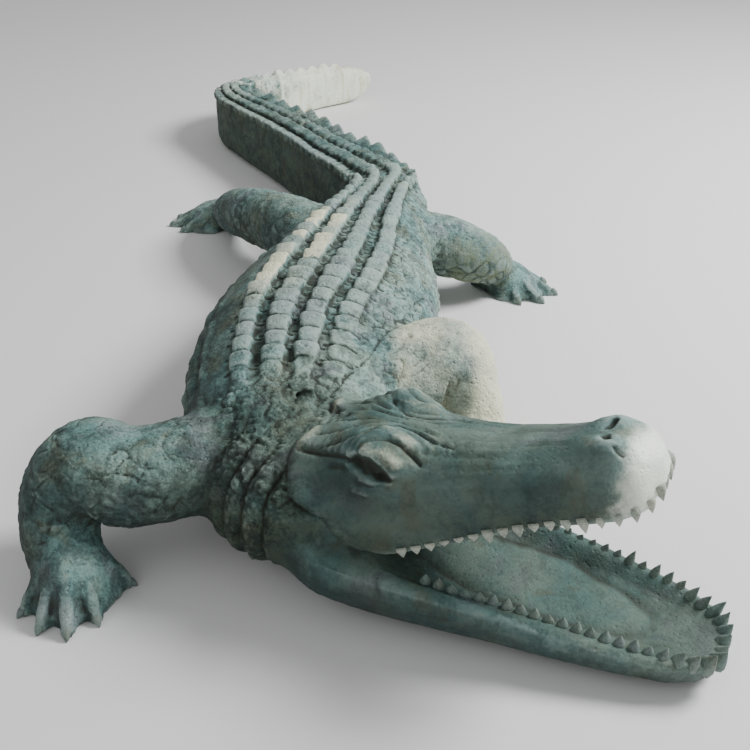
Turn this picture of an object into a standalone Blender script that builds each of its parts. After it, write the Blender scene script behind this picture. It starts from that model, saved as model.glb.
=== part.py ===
# A bronze crocodile, cast in one piece, that stands low on four feet with its mouth open.
# Metres, +Z up. The origin is the middle of the footprint, on the ground.
import bpy
import bmesh
import math
import numpy as np
from mathutils import Matrix, Vector

# The body from the nose, along the spine and round the tail's bends, to the tail's tip.
body_length = 3.1
# The pose is drawn on a squared plan, and one square is this share of the body's length.
squares_in_length = 31
square = body_length / squares_in_length

# Carving on the back, the neck and the flanks
scute_pitch = 0.052
scute_rise = 0.014
flank_scute_rise = 0.008
crest_rise = 0.030
nape_knob_rise = 0.022
neck_fold_rise = 0.012
neck_fold_pitch = 0.028

# Teeth and claws
tooth_pitch = 0.027
tooth_length = 0.016
tooth_width = 0.014
tooth_sink = 0.006
tooth_sides = 5
claw_length = 0.018
claw_width = 0.014
claw_sides = 6

# Jaws, as a heading on the plan and a slope to the ground, in degrees
upper_jaw_heading = -25
lower_jaw_heading = -23.5
upper_jaw_slope = 21.5
lower_jaw_slope = -8

# Places on the squared plan, in squares from the origin: x, y, z
jaw_hinge = (0.0, -10.25, 1.15)

# The spine, from inside the skull to the tail's tip:
# x, y, half width, underside, back, and squareness of the section
spine_rows = (
    (0.30, -10.35, 0.70, 0.55, 1.90, 2.2),
    (-0.25, -10.30, 1.00, 0.35, 2.15, 2.2),
    (-0.75, -9.95, 1.32, 0.25, 2.30, 2.2),
    (-0.95, -9.30, 1.50, 0.25, 2.40, 2.2),
    (-0.95, -8.40, 1.68, 0.30, 2.50, 2.2),
    (-0.85, -7.30, 1.80, 0.30, 2.65, 2.2),
    (-0.55, -6.10, 1.90, 0.30, 2.70, 2.2),
    (-0.29, -4.90, 1.78, 0.30, 2.65, 2.2),
    (-0.08, -3.70, 1.52, 0.30, 2.55, 2.2),
    (0.18, -2.50, 1.26, 0.25, 2.45, 2.3),
    (0.40, -1.40, 1.06, 0.15, 2.30, 2.4),
    (0.50, -0.40, 0.94, 0.05, 2.15, 2.6),
    (0.34, 0.60, 0.86, 0.00, 1.95, 2.8),
    (-0.12, 1.60, 0.80, 0.00, 1.88, 2.8),
    (-0.68, 2.70, 0.76, 0.00, 1.75, 2.8),
    (-1.35, 4.00, 0.72, 0.00, 1.70, 2.8),
    (-2.20, 5.40, 0.68, 0.00, 1.65, 2.8),
    (-3.15, 6.80, 0.62, 0.00, 1.60, 2.8),
    (-3.82, 7.90, 0.52, 0.00, 1.55, 2.8),
    (-4.02, 8.70, 0.42, 0.00, 1.50, 2.6),
    (-3.75, 9.50, 0.36, 0.00, 1.42, 2.6),
    (-2.80, 10.40, 0.31, 0.00, 1.32, 2.6),
    (-1.55, 11.42, 0.27, 0.04, 1.24, 2.4),
    (-0.45, 12.14, 0.22, 0.10, 1.14, 2.4),
    (0.10, 12.46, 0.12, 0.28, 0.94, 2.2),
)

# Limbs, from inside the body to the wrist or ankle: x, y, z and radius
right_arm = (
    (-1.30, -9.30, 1.45, 0.74),
    (-2.20, -9.85, 1.44, 0.74),
    (-3.00, -10.12, 1.44, 0.74),
    (-3.74, -10.10, 1.50, 0.76),
    (-4.08, -10.28, 1.12, 0.60),
    (-4.10, -10.52, 0.62, 0.54),
    (-4.02, -10.66, 0.32, 0.52),
)
left_arm = (
    (0.00, -8.05, 1.45, 0.80),
    (0.85, -7.75, 1.62, 0.76),
    (1.48, -7.60, 1.70, 0.73),
    (1.80, -7.90, 1.20, 0.54),
    (1.98, -8.40, 0.65, 0.44),
    (2.05, -8.62, 0.32, 0.42),
)
right_leg = (
    (-0.55, -2.50, 1.40, 0.70),
    (-1.60, -1.20, 1.30, 0.68),
    (-2.45, -0.10, 1.08, 0.60),
    (-2.95, 0.80, 0.78, 0.52),
    (-3.18, 1.50, 0.52, 0.42),
    (-3.25, 1.90, 0.40, 0.36),
)
left_leg = (
    (0.60, -2.20, 1.30, 0.70),
    (1.45, -1.95, 1.22, 0.66),
    (2.35, -2.02, 1.00, 0.57),
    (2.80, -1.85, 0.70, 0.46),
    (2.88, -1.50, 0.32, 0.36),
)

# Feet: the wrist's or ankle's place on the plan, and each toe's heading in degrees and reach
right_hand = ((-3.92, -10.70), ((-10, 0.74), (-60, 0.96), (-83, 1.10), (-105, 1.02), (-131, 0.90)))
left_hand = ((2.06, -8.66), ((-150, 0.80), (-112, 0.98), (-86, 1.10), (-62, 1.02), (-30, 0.90)))
right_foot = ((-3.28, 1.96), ((150, 1.05), (170, 1.35), (188, 1.45), (207, 1.25)))
left_foot = ((2.90, -1.40), ((-64, 1.05), (-43, 1.30), (-22, 1.38), (2, 1.12)))

# Feet, in squares: the heel's reach, the height over the ankle and at the web's edge, the rise
# of each toe, the web's reach as a share of the toes', and half a toe's width in degrees
heel_reach = 0.50
instep_height = 0.56
web_height = 0.12
toe_ridge = 0.15
web_reach = 0.86
toe_half_angle = 8
foot_circles = (0.30, 0.55, 0.80, 1.0)
toe_side_reach = 0.93
toe_side_rise = 0.5
heel_shares = (0.2, 0.4, 0.6, 0.8)
claw_root = 0.86
# How steeply the instep falls, how soon a toe's ridge rises and how far it sinks at the toe's
# end, and how far a claw's point droops, as a share of its radius
instep_fall = 0.8
toe_start = 0.5
toe_fall = 0.35
claw_droop = 0.6

# Skull and upper jaw, from the nape to the nose: place along the jaw, half width, lip and top
skull_rows = (
    (-0.80, 0.70, 0.10, 0.95),
    (-0.35, 0.94, -0.10, 1.26),
    (0.20, 1.04, -0.16, 1.30),
    (0.90, 1.04, -0.22, 1.26),
    (1.40, 0.97, -0.20, 1.08),
    (1.95, 0.89, -0.14, 0.90),
    (2.60, 0.82, -0.07, 0.77),
    (3.20, 0.78, -0.02, 0.72),
    (3.75, 0.76, -0.02, 0.71),
    (4.10, 0.68, 0.00, 0.70),
    (4.32, 0.50, 0.04, 0.58),
    (4.46, 0.16, 0.14, 0.40),
)
# Swellings on the skull, on both sides: place along, out and up the upper jaw, how far they
# spread along and across, and how far they rise
skull_swellings = (
    ((1.10, 0.62, 1.16), (0.48, 0.26), 0.22),
    ((1.08, 0.92, 0.80), (0.28, 0.20), 0.10),
    ((-0.14, 0.78, 1.12), (0.30, 0.26), 0.18),
    ((3.86, 0.26, 0.74), (0.28, 0.18), 0.11),
    ((0.10, 1.00, 0.30), (0.60, 0.36), 0.16),
)
eye_place = (1.10, 0.90, 0.90)
eye_half_sizes = (0.20, 0.14, 0.13)

# Lower jaw, from the throat to the chin: place along the jaw, half width, rim, floor, underside
chin_rows = (
    (-0.80, 1.10, 0.00, 0.00, -0.74),
    (0.00, 1.36, 0.00, 0.02, -0.86),
    (0.80, 1.32, -0.04, -0.16, -0.86),
    (1.60, 1.22, -0.03, -0.22, -0.78),
    (2.60, 1.08, 0.00, -0.22, -0.66),
    (3.60, 0.96, 0.00, -0.20, -0.54),
    (4.30, 0.84, 0.00, -0.16, -0.44),
    (4.80, 0.68, 0.02, -0.06, -0.38),
    (5.10, 0.46, 0.04, 0.02, -0.30),
    (5.24, 0.16, 0.02, 0.02, -0.20),
)
upper_teeth = (1.10, 4.40)
lower_teeth = (0.90, 5.16)
# The palate is hollowed where the jaw's half width is between these, and flat at the nose
palate_hollow = 0.10
palate_fade = (0.4, 0.7)
tooth_row_steps = 80
neck_folds_start = 0.078
tooth_sizes = (0.7, 0.8, 1.0, 0.85, 0.7, 0.95, 1.1)

# The roof of the skull is a ring of points between these angles, in degrees, and its section is
# this square. Inside it, as shares of the half width, come the gum and the palate.
roof_angles = (6, 174)
roof_points = 17
roof_squareness = 0.8
gum_share = 0.86
gum_drop = 0.03
palate_share = 0.45
# The lower jaw's half section, as shares out of the half width: the floor, inside and top of the
# rim, and below it the side, the corner and the underside, with the last three's share of its depth
chin_floor_share = 0.40
rim_inside_share = 0.76
rim_top_share = 0.92
chin_below = ((1.02, 0.3), (0.93, 0.78), (0.45, 1.0))
skull_ring_count = 30
chin_ring_count = 20
upper_tooth_inset = 0.88
lower_tooth_inset = 0.86
tooth_lean = 1.03
limb_sides = 12
limb_ring_spacing = 0.42
# How far each way along its path a ring looks to find which way it faces: a limb's rings look
# further, so that they don't cross inside the bend of an elbow
spine_look = 0.05
limb_look = 0.40

# Across the back, from the middle out, grooves and ridges take turns, at these shares of the
# half width: three rows of scutes each side on the trunk, crests on the tail, one at its tip
back_on_trunk = (0.0, 0.14, 0.28, 0.42, 0.56, 0.70, 0.84)
back_on_tail = (0.0, 0.22, 0.42, 0.66, 0.84, 0.91, 0.96)
back_on_tip = (0.0, 0.16, 0.34, 0.55, 0.72, 0.84, 0.93)
flank_angles = (8, -20, -50)
# A scute rises from its front edge to its back edge, and drops there to the next one
scute_front_lift = 0.35
scute_back_edge = 0.82
belly_on_trunk = 0.45
belly_on_tail = 0.85

# Where the rows change, as shares of the spine's length
nape_start = 0.05
nape_end = 0.12
trunk_end = 0.40
crest_start = 0.46
crests_meet = 0.80
single_crest = 0.86
tip_start = 0.93
# Shares of the spine's length over which the nape's knobs, the trunk's scutes and the neck's
# folds rise to their full height, and how much lower the crest ends at the tail's tip
nape_fade = 0.02
trunk_fade = 0.04
fold_fade = 0.01
tip_crest_fall = 0.75


def smooth_rows(rows, distances, places):
    # The rows' columns at these distances, on a smooth curve. The first columns are places.
    rows = np.array(rows, float)
    steps = np.linalg.norm(np.diff(rows[:, :places], axis=0), axis=1)
    reached = np.concatenate([[0], np.cumsum(steps)])
    slopes = np.diff(rows, axis=0) / steps[:, None]
    shares = (steps[:-1] / (steps[:-1] + steps[1:]))[:, None]
    tangents = np.vstack([slopes[:1], slopes[1:] * shares + slopes[:-1] * (1 - shares), slopes[-1:]])
    distances = np.clip(distances, 0, reached[-1])
    i = np.clip(np.searchsorted(reached, distances, side="right") - 1, 0, len(steps) - 1)
    t = ((distances - reached[i]) / steps[i])[:, None]
    span = steps[i][:, None]
    start = (1 + 2 * t) * (1 - t) ** 2 * rows[i] + t * (1 - t) ** 2 * span * tangents[i]
    end = t * t * (3 - 2 * t) * rows[i + 1] + t * t * (t - 1) * span * tangents[i + 1]
    return start + end


def length_of(rows, places):
    rows = np.array(rows, float)
    return float(np.linalg.norm(np.diff(rows[:, :places], axis=0), axis=1).sum())


def ramp(value, start, end):
    return min(max((value - start) / (end - start), 0), 1)


def heading_vector(degrees):
    return np.array((math.cos(math.radians(degrees)), math.sin(math.radians(degrees)), 0))


def turns(sides):
    return np.arange(sides) * math.tau / sides


def make_piece(name, points, faces, collection):
    mesh = bpy.data.meshes.new(name)
    mesh.from_pydata([tuple(p) for p in points], [], faces)
    work = bmesh.new()
    work.from_mesh(mesh)
    bmesh.ops.recalc_face_normals(work, faces=work.faces)
    work.to_mesh(mesh)
    work.free()
    piece = bpy.data.objects.new(name, mesh)
    collection.objects.link(piece)
    return piece


def loft(rings):
    # A closed skin over rings of equal count, with a point in the middle of each end.
    rings = np.array(rings, float)
    count, sides = rings.shape[:2]
    points = np.vstack([rings.reshape(-1, 3), rings[0].mean(0), rings[-1].mean(0)])
    faces = []
    for j in range(sides):
        k = (j + 1) % sides
        for i in range(0, (count - 1) * sides, sides):
            faces.append((i + j, i + k, i + sides + k, i + sides + j))
        last = (count - 1) * sides
        faces.append((count * sides, k, j))
        faces.append((count * sides + 1, last + j, last + k))
    return points, faces


def rows_across(share):
    # The shares of the half width where grooves and ridges run, at this share of the spine.
    trunk, tail, tip = map(np.array, (back_on_trunk, back_on_tail, back_on_tip))
    on_tail = ramp(share, trunk_end, crest_start)
    on_tip = ramp(share, crests_meet, single_crest)
    return (trunk * (1 - on_tail) + tail * on_tail) * (1 - on_tip) + tip * on_tip


def rises_across(share):
    # How far each groove and ridge stands out of the back, at this share of the spine.
    on_nape = ramp(share, nape_start, nape_start + nape_fade) * ramp(share, nape_end, nape_end - nape_fade)
    on_trunk = ramp(share, nape_end, nape_end + trunk_fade)
    on_tail = ramp(share, trunk_end, crest_start)
    on_tip = ramp(share, crests_meet, single_crest)
    tip_crest = crest_rise * on_tip * (1 - tip_crest_fall * ramp(share, tip_start, 1))
    plates = scute_rise * on_trunk * (1 - on_tip)
    knobs = nape_knob_rise * on_nape
    side_crests = (scute_rise * on_trunk * (1 - on_tail) + crest_rise * on_tail) * (1 - on_tip)
    flank = flank_scute_rise * on_trunk * (1 - on_tail)
    return np.array((tip_crest, plates + knobs + tip_crest / 2, 0, side_crests + knobs, 0, flank, 0))


def section(row, share, lift):
    # One ring round the body: the back from left to right, then the flank and the belly.
    half_width, low, high, squareness = row[2:]
    low = max(low, 0)
    middle, half_height = (low + high) / 2, (high - low) / 2
    on_neck = (ramp(share, neck_folds_start, neck_folds_start + fold_fade)
               * ramp(share, nape_end + trunk_fade, nape_end))
    fold = neck_fold_rise / square * lift * on_neck
    right = []
    for share_out, rise in zip(rows_across(share), rises_across(share) * lift / square):
        height = (1 - share_out ** squareness) ** (1 / squareness)
        out = Vector((share_out ** (squareness - 1) / half_width,
                      height ** (squareness - 1) / half_height)).normalized()
        right.append((half_width * share_out + out.x * rise, middle + half_height * height + out.y * rise))
    for angle in flank_angles:
        c, s = math.cos(math.radians(angle)), math.sin(math.radians(angle))
        height = math.copysign(abs(s) ** (2 / squareness), s)
        right.append((half_width * c ** (2 / squareness) + fold * c, middle + half_height * height))
    belly = belly_on_trunk + (belly_on_tail - belly_on_trunk) * ramp(share, trunk_end, crest_start)
    right.append((half_width * belly, low))
    return [(-a, z) for a, z in reversed(right[1:])] + right


def body_rings():
    whole = length_of(spine_rows, 2)
    distances, lifts = [], []
    neck_folds = round(whole * nape_end * square / neck_fold_pitch)
    for n in range(neck_folds):
        distances.append(n * whole * nape_end / neck_folds)
        lifts.append(n % 2)
    pitch = scute_pitch / square
    for start in np.arange(whole * nape_end, whole - pitch, pitch):
        distances += [start, start + scute_back_edge * pitch]
        lifts += [scute_front_lift, 1]
    distances = np.array(distances + [whole])
    lifts.append(scute_front_lift)
    rows = smooth_rows(spine_rows, distances, 2)
    ways = (smooth_rows(spine_rows, distances + spine_look, 2)
            - smooth_rows(spine_rows, distances - spine_look, 2))
    rings = []
    for row, distance, lift, way in zip(rows, distances, lifts, ways):
        across = Vector((way[1], -way[0])).normalized()
        rings.append([(row[0] + across.x * a, row[1] + across.y * a, z)
                      for a, z in section(row, distance / whole, lift)])
    return np.array(rings) * square


def tube_rings(rows):
    # Round rings along a limb, each square to the way the limb runs.
    whole = length_of(rows, 3)
    distances = np.linspace(0, whole, round(whole / limb_ring_spacing) + 1)
    path = smooth_rows(rows, distances, 3)
    ways = smooth_rows(rows, distances + limb_look, 3) - smooth_rows(rows, distances - limb_look, 3)
    rings = []
    turn = Vector((0, 0, 1))
    for row, way in zip(path, ways):
        way = Vector(way[:3]).normalized()
        turn = (turn - way * turn.dot(way)).normalized()
        other = way.cross(turn)
        rings.append([Vector(row[:3]) + (turn * math.cos(a) + other * math.sin(a)) * row[3]
                      for a in turns(limb_sides)])
    return np.array(rings) * square


def jaw_frame(heading, slope):
    # Turns places along, left of and over a jaw into places on the model.
    turned = (Matrix.Rotation(math.radians(heading), 4, "Z")
              @ Matrix.Rotation(-math.radians(slope), 4, "Y"))
    return Matrix.Translation(Vector(jaw_hinge) * square) @ turned @ Matrix.Scale(square, 4)


def in_frame(frame, points):
    return np.array([frame @ Vector(p) for p in points])


def swelling_at(along, out, up):
    rise = 0
    for place, (reach_along, reach_across), height in skull_swellings:
        across = math.hypot(abs(out) - place[1], up - place[2])
        rise += height * math.exp(-((along - place[0]) / reach_along) ** 2 - (across / reach_across) ** 2)
    return rise


def skull_ring(row):
    along, half_width, lip, top = row
    ring = []
    for angle in np.radians(np.linspace(*roof_angles, roof_points)):
        c, s = math.cos(angle), math.sin(angle)
        out = half_width * math.copysign(abs(c) ** roof_squareness, c)
        up = lip + (top - lip) * s ** roof_squareness
        rise = swelling_at(along, out, up)
        ring.append((along, out + rise * c, up + rise * s))
    gum_out, palate_out = half_width * gum_share, half_width * palate_share
    gum, palate = lip - gum_drop, lip + palate_hollow * ramp(half_width, *palate_fade)
    return ring + [(along, -gum_out, gum), (along, -palate_out, palate),
                   (along, palate_out, palate), (along, gum_out, gum)]


def chin_ring(row):
    along, half_width, rim, floor, under = row
    half = [(chin_floor_share, floor), (rim_inside_share, rim - gum_drop), (rim_top_share, rim)]
    half += [(out, rim + (under - rim) * depth) for out, depth in chin_below]
    return ([(along, half_width * share, up) for share, up in half]
            + [(along, -half_width * share, up) for share, up in reversed(half)])


def jaw_rings(rows, ring_of, frame, count):
    smooth = smooth_rows(rows, np.linspace(0, length_of(rows, 1), count), 1)
    return [in_frame(frame, ring_of(row)) for row in smooth]


def tooth_row(rows, reach, up, inset, frame):
    # Cones along the edge of a jaw, round its front, from one corner of the mouth to the other.
    smooth = smooth_rows(rows, np.linspace(*reach, tooth_row_steps) - rows[0][0], 1)
    left = smooth[:, :3] * (1, inset, 1)
    edge = np.vstack([left, (left * (1, -1, 1))[::-1]])
    reached = np.concatenate([[0], np.cumsum(np.linalg.norm(np.diff(edge, axis=0), axis=1))])
    count = int(reached[-1] * square / tooth_pitch)
    points, faces = [], []
    for n in range(count):
        distance = (n + 0.5) * reached[-1] / count
        along, out, lip = (np.interp(distance, reached, column) for column in edge.T)
        size = tooth_sizes[min(n, count - 1 - n) % len(tooth_sizes)]
        radius, height = tooth_width / square * size / 2, tooth_length / square * size
        first = len(points)
        for a in turns(tooth_sides):
            points.append((along + radius * math.cos(a), out + radius * math.sin(a),
                           lip - up * tooth_sink / square))
        points.append((along, out * tooth_lean, lip + up * height))
        faces += cone_faces(first, tooth_sides)
    return in_frame(frame, points), faces


def cone_faces(first, sides):
    tip = first + sides
    slopes = [(first + i, first + (i + 1) % sides, tip) for i in range(sides)]
    return slopes + [tuple(reversed(range(first, tip)))]


def eye(out):
    work = bmesh.new()
    place = Vector(eye_place) * Vector((1, out, 1))
    shape = Matrix.Translation(place) @ Matrix.Diagonal((*eye_half_sizes, 1))
    bmesh.ops.create_icosphere(work, subdivisions=2, radius=1, matrix=shape)
    points = [v.co.copy() for v in work.verts]
    faces = [[v.index for v in f.verts] for f in work.faces]
    work.free()
    return points, faces


def foot_spokes(toes):
    # Headings round the ankle, with a reach and a share of the toes' rise for each.
    ordered = sorted(toes)
    spokes = []
    for n, (heading, reach) in enumerate(ordered):
        spokes.append((heading - toe_half_angle, reach * toe_side_reach, toe_side_rise))
        spokes.append((heading, reach, 1))
        spokes.append((heading + toe_half_angle, reach * toe_side_reach, toe_side_rise))
        if n + 1 < len(ordered):
            following = ordered[n + 1]
            spokes.append(((heading + following[0]) / 2, (reach + following[1]) / 2 * web_reach, 0))
    gap = spokes[0][0] + 360 - spokes[-1][0]
    start = spokes[-1][0]
    return spokes + [(start + gap * share, heel_reach, 0) for share in heel_shares]


def foot(place, toes):
    # A webbed foot, flat below, as rings of points round the ankle.
    spokes = foot_spokes(toes)
    centre = np.array((*place, 0))
    points = [centre + (0, 0, instep_height), centre]
    for circle in foot_circles:
        for heading, reach, rise in spokes:
            height = instep_height + (web_height - instep_height) * circle ** instep_fall
            height += toe_ridge * rise * min(1, circle / toe_start) * (1 - toe_fall * circle)
            points.append(centre + heading_vector(heading) * reach * circle + (0, 0, height))
    points += [centre + heading_vector(heading) * reach for heading, reach, rise in spokes]
    count = len(spokes)
    faces = []
    for j in range(count):
        k = (j + 1) % count
        faces.append((0, 2 + j, 2 + k))
        for i in range(2, 2 + len(foot_circles) * count, count):
            faces.append((i + j, i + count + j, i + count + k, i + k))
        sole = 2 + len(foot_circles) * count
        faces.append((1, sole + k, sole + j))
    return np.array(points) * square, faces


def claws(place, toes):
    points, faces = [], []
    radius = claw_width / 2
    for heading, reach in toes:
        way, side = heading_vector(heading), heading_vector(heading + 90)
        root = (np.array((*place, 0)) + way * reach * claw_root) * square + (0, 0, radius)
        first = len(points)
        for a in turns(claw_sides):
            points.append(root + side * radius * math.cos(a) + (0, 0, radius * math.sin(a)))
        tip = root + way * (reach * (1 - claw_root) * square + claw_length)
        points.append(tip - (0, 0, radius * claw_droop))
        faces += cone_faces(first, claw_sides)
    return points, faces


def centre_on_footprint(pieces):
    corners = [piece.matrix_world @ v.co for piece in pieces for v in piece.data.vertices]
    lowest, highest = np.min(corners, axis=0), np.max(corners, axis=0)
    middle = (lowest + highest) / 2
    for piece in pieces:
        piece.data.transform(Matrix.Translation((-middle[0], -middle[1], -lowest[2])))


def fill_sealed_voids(mesh):
    # Where folds overlap, the union leaves small voids inside, whose skins face inwards.
    work = bmesh.new()
    work.from_mesh(mesh)
    unseen = set(work.faces)
    voids = []
    while unseen:
        skin = [unseen.pop()]
        for face in skin:
            beside = {other for edge in face.edges for other in edge.link_faces} & unseen
            unseen -= beside
            skin += beside
        if sum(face.calc_center_median().dot(face.normal) * face.calc_area() for face in skin) < 0:
            voids += skin
    bmesh.ops.delete(work, geom=voids, context="FACES")
    work.to_mesh(mesh)
    work.free()


def join_forms(casting, forms):
    join = casting.modifiers.new("join the forms", "BOOLEAN")
    join.operation = "UNION"
    join.operand_type = "COLLECTION"
    join.collection = forms
    graph = bpy.context.evaluated_depsgraph_get()
    joined = bpy.data.meshes.new_from_object(casting.evaluated_get(graph), depsgraph=graph)
    casting.modifiers.clear()
    casting.data = joined
    fill_sealed_voids(joined)
    for form in list(forms.objects):
        bpy.data.objects.remove(form)
    bpy.data.collections.remove(forms)


def bronze():
    material = bpy.data.materials.new("verdigris_bronze")
    material.use_nodes = True
    shader = material.node_tree.nodes["Principled BSDF"]
    shader.inputs["Base Color"].default_value = (0.16, 0.24, 0.22, 1)
    shader.inputs["Roughness"].default_value = 0.62
    shader.inputs["Metallic"].default_value = 0.35
    return material


def build():
    for old in list(bpy.data.objects):
        bpy.data.objects.remove(old)
    scene = bpy.context.scene.collection
    forms = bpy.data.collections.new("forms to join")
    scene.children.link(forms)
    casting = make_piece("crocodile", *loft(body_rings()), scene)
    upper = jaw_frame(upper_jaw_heading, upper_jaw_slope)
    lower = jaw_frame(lower_jaw_heading, lower_jaw_slope)
    make_piece("skull", *loft(jaw_rings(skull_rows, skull_ring, upper, skull_ring_count)), forms)
    make_piece("chin", *loft(jaw_rings(chin_rows, chin_ring, lower, chin_ring_count)), forms)
    make_piece("upper_teeth", *tooth_row(skull_rows, upper_teeth, -1, upper_tooth_inset, upper), forms)
    make_piece("lower_teeth", *tooth_row(chin_rows, lower_teeth, 1, lower_tooth_inset, lower), forms)
    for side, out in (("left", 1), ("right", -1)):
        points, faces = eye(out)
        make_piece("eye_" + side, in_frame(upper, points), faces, forms)
    for name, rows in (("right_arm", right_arm), ("left_arm", left_arm),
                       ("right_leg", right_leg), ("left_leg", left_leg)):
        make_piece(name, *loft(tube_rings(rows)), forms)
    for name, (place, toes) in (("right_hand", right_hand), ("left_hand", left_hand),
                                ("right_foot", right_foot), ("left_foot", left_foot)):
        make_piece(name, *foot(place, toes), forms)
        make_piece(name + "_claws", *claws(place, toes), forms)
    centre_on_footprint([casting, *forms.objects])
    join_forms(casting, forms)
    casting.data.materials.append(bronze())


build()
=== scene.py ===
# A crocodile cast in bronze, with its green patina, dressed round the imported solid.
# Metres, +Z up. Tables in squares are places on a squared plan, as a sculptor enlarges a sketch.
import math

import bmesh
import bpy
import numpy as np
from mathutils import Matrix, Vector
from mathutils.bvhtree import BVHTree
from mathutils.kdtree import KDTree


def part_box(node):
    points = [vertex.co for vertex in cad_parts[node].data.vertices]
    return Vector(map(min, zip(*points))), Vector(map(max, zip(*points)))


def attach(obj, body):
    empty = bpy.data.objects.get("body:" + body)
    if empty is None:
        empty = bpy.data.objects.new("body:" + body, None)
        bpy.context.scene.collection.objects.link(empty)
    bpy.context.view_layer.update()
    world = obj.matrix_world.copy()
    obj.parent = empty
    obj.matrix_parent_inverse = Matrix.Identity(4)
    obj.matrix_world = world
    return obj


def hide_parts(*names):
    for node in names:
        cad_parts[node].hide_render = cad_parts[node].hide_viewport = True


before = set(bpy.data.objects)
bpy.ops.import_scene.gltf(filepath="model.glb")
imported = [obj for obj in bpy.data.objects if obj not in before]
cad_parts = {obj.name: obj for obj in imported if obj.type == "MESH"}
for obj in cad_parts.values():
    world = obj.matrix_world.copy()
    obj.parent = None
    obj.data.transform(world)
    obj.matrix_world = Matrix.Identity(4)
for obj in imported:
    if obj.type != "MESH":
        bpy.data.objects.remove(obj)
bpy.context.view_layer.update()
lowCorner, highCorner = (np.array(c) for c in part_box("crocodile"))

square = 0.1
planMiddle = (-0.00293, -0.01068, 0.0)  # where the footprint's middle falls on the plan

# the body: x, y, half width, underside, back, squareness of the section
spineRows = (
    (0.30, -10.35, 0.70, 0.55, 1.90, 2.2),
    (-0.25, -10.30, 1.00, 0.35, 2.15, 2.2),
    (-0.75, -9.95, 1.32, 0.25, 2.30, 2.2),
    (-0.95, -9.30, 1.50, 0.25, 2.40, 2.2),
    (-0.95, -8.40, 1.68, 0.30, 2.50, 2.2),
    (-0.85, -7.30, 1.80, 0.30, 2.65, 2.2),
    (-0.55, -6.10, 1.90, 0.30, 2.70, 2.2),
    (-0.29, -4.90, 1.78, 0.30, 2.65, 2.2),
    (-0.08, -3.70, 1.52, 0.30, 2.55, 2.2),
    (0.18, -2.50, 1.26, 0.25, 2.45, 2.3),
    (0.40, -1.40, 1.06, 0.15, 2.30, 2.4),
    (0.50, -0.40, 0.94, 0.05, 2.15, 2.6),
    (0.34, 0.60, 0.86, 0.00, 1.95, 2.8),
    (-0.12, 1.60, 0.80, 0.00, 1.88, 2.8),
    (-0.68, 2.70, 0.76, 0.00, 1.75, 2.8),
    (-1.35, 4.00, 0.72, 0.00, 1.70, 2.8),
    (-2.20, 5.40, 0.68, 0.00, 1.65, 2.8),
    (-3.15, 6.80, 0.62, 0.00, 1.60, 2.8),
    (-3.82, 7.90, 0.52, 0.00, 1.55, 2.8),
    (-4.02, 8.70, 0.42, 0.00, 1.50, 2.6),
    (-3.75, 9.50, 0.36, 0.00, 1.42, 2.6),
    (-2.80, 10.40, 0.31, 0.00, 1.32, 2.6),
    (-1.55, 11.42, 0.27, 0.04, 1.24, 2.4),
    (-0.45, 12.14, 0.22, 0.10, 1.14, 2.4),
    (0.10, 12.46, 0.12, 0.28, 0.94, 2.2),
)
# limbs: x, y, z and radius, from inside the body to the wrist or ankle
limbRows = {
    "rightArm": ((-1.30, -9.30, 1.45, 0.74), (-2.20, -9.85, 1.44, 0.71), (-3.00, -10.12, 1.42, 0.70),
                 (-3.72, -10.10, 1.45, 0.75), (-4.06, -10.28, 1.12, 0.60), (-4.10, -10.52, 0.62, 0.54),
                 (-4.02, -10.66, 0.32, 0.52)),
    "leftArm": ((0.00, -8.05, 1.45, 0.80), (0.85, -7.75, 1.62, 0.76), (1.48, -7.60, 1.70, 0.73),
                (1.80, -7.90, 1.20, 0.54), (1.98, -8.40, 0.65, 0.44), (2.05, -8.62, 0.32, 0.42)),
    "rightLeg": ((-0.55, -2.50, 1.40, 0.70), (-1.60, -1.20, 1.30, 0.68), (-2.45, -0.10, 1.08, 0.60),
                 (-2.95, 0.80, 0.78, 0.52), (-3.18, 1.50, 0.52, 0.42), (-3.25, 1.90, 0.40, 0.36)),
    "leftLeg": ((0.60, -2.20, 1.30, 0.70), (1.45, -1.95, 1.22, 0.66), (2.35, -2.02, 1.00, 0.57),
                (2.80, -1.85, 0.70, 0.46), (2.88, -1.50, 0.32, 0.36)),
}
# feet: the ankle's place, then each toe's heading in degrees and reach
footToes = {
    "rightHand": ((-3.92, -10.70), ((-7, 0.80), (-60, 0.96), (-83, 1.10), (-105, 1.02), (-131, 0.90))),
    "leftHand": ((2.06, -8.66), ((-150, 0.80), (-112, 0.98), (-86, 1.10), (-62, 1.02), (-30, 0.90))),
    "rightFoot": ((-3.28, 1.96), ((150, 1.05), (170, 1.35), (188, 1.45), (207, 1.25))),
    "leftFoot": ((2.90, -1.40), ((-64, 1.05), (-43, 1.30), (-22, 1.38), (2, 1.12))),
}
foot = {
    "heelReach": 0.50, "webReach": 0.86, "webStops": (0, 0.47, 0.70, 0.82, 0.94, 1.0), "footDrop": 0.62,
    "webTops": (1.05, 0.92, 0.64, 0.43, 0.22, 0.13), "toeStops": (0.45, 0.60, 0.72, 0.84, 0.94, 1.0),
    "toeTops": (0.82, 0.68, 0.50, 0.36, 0.24, 0.14), "toeRadii": (0.05, 0.06, 0.085, 0.085, 0.065, 0.045),
}
jaws = {
    "hinge": (0.0, -10.25, 1.15),
    "upperHeading": -25, "lowerHeading": -23.5, "upperSlope": 21.5, "lowerSlope": -8,
}
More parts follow.
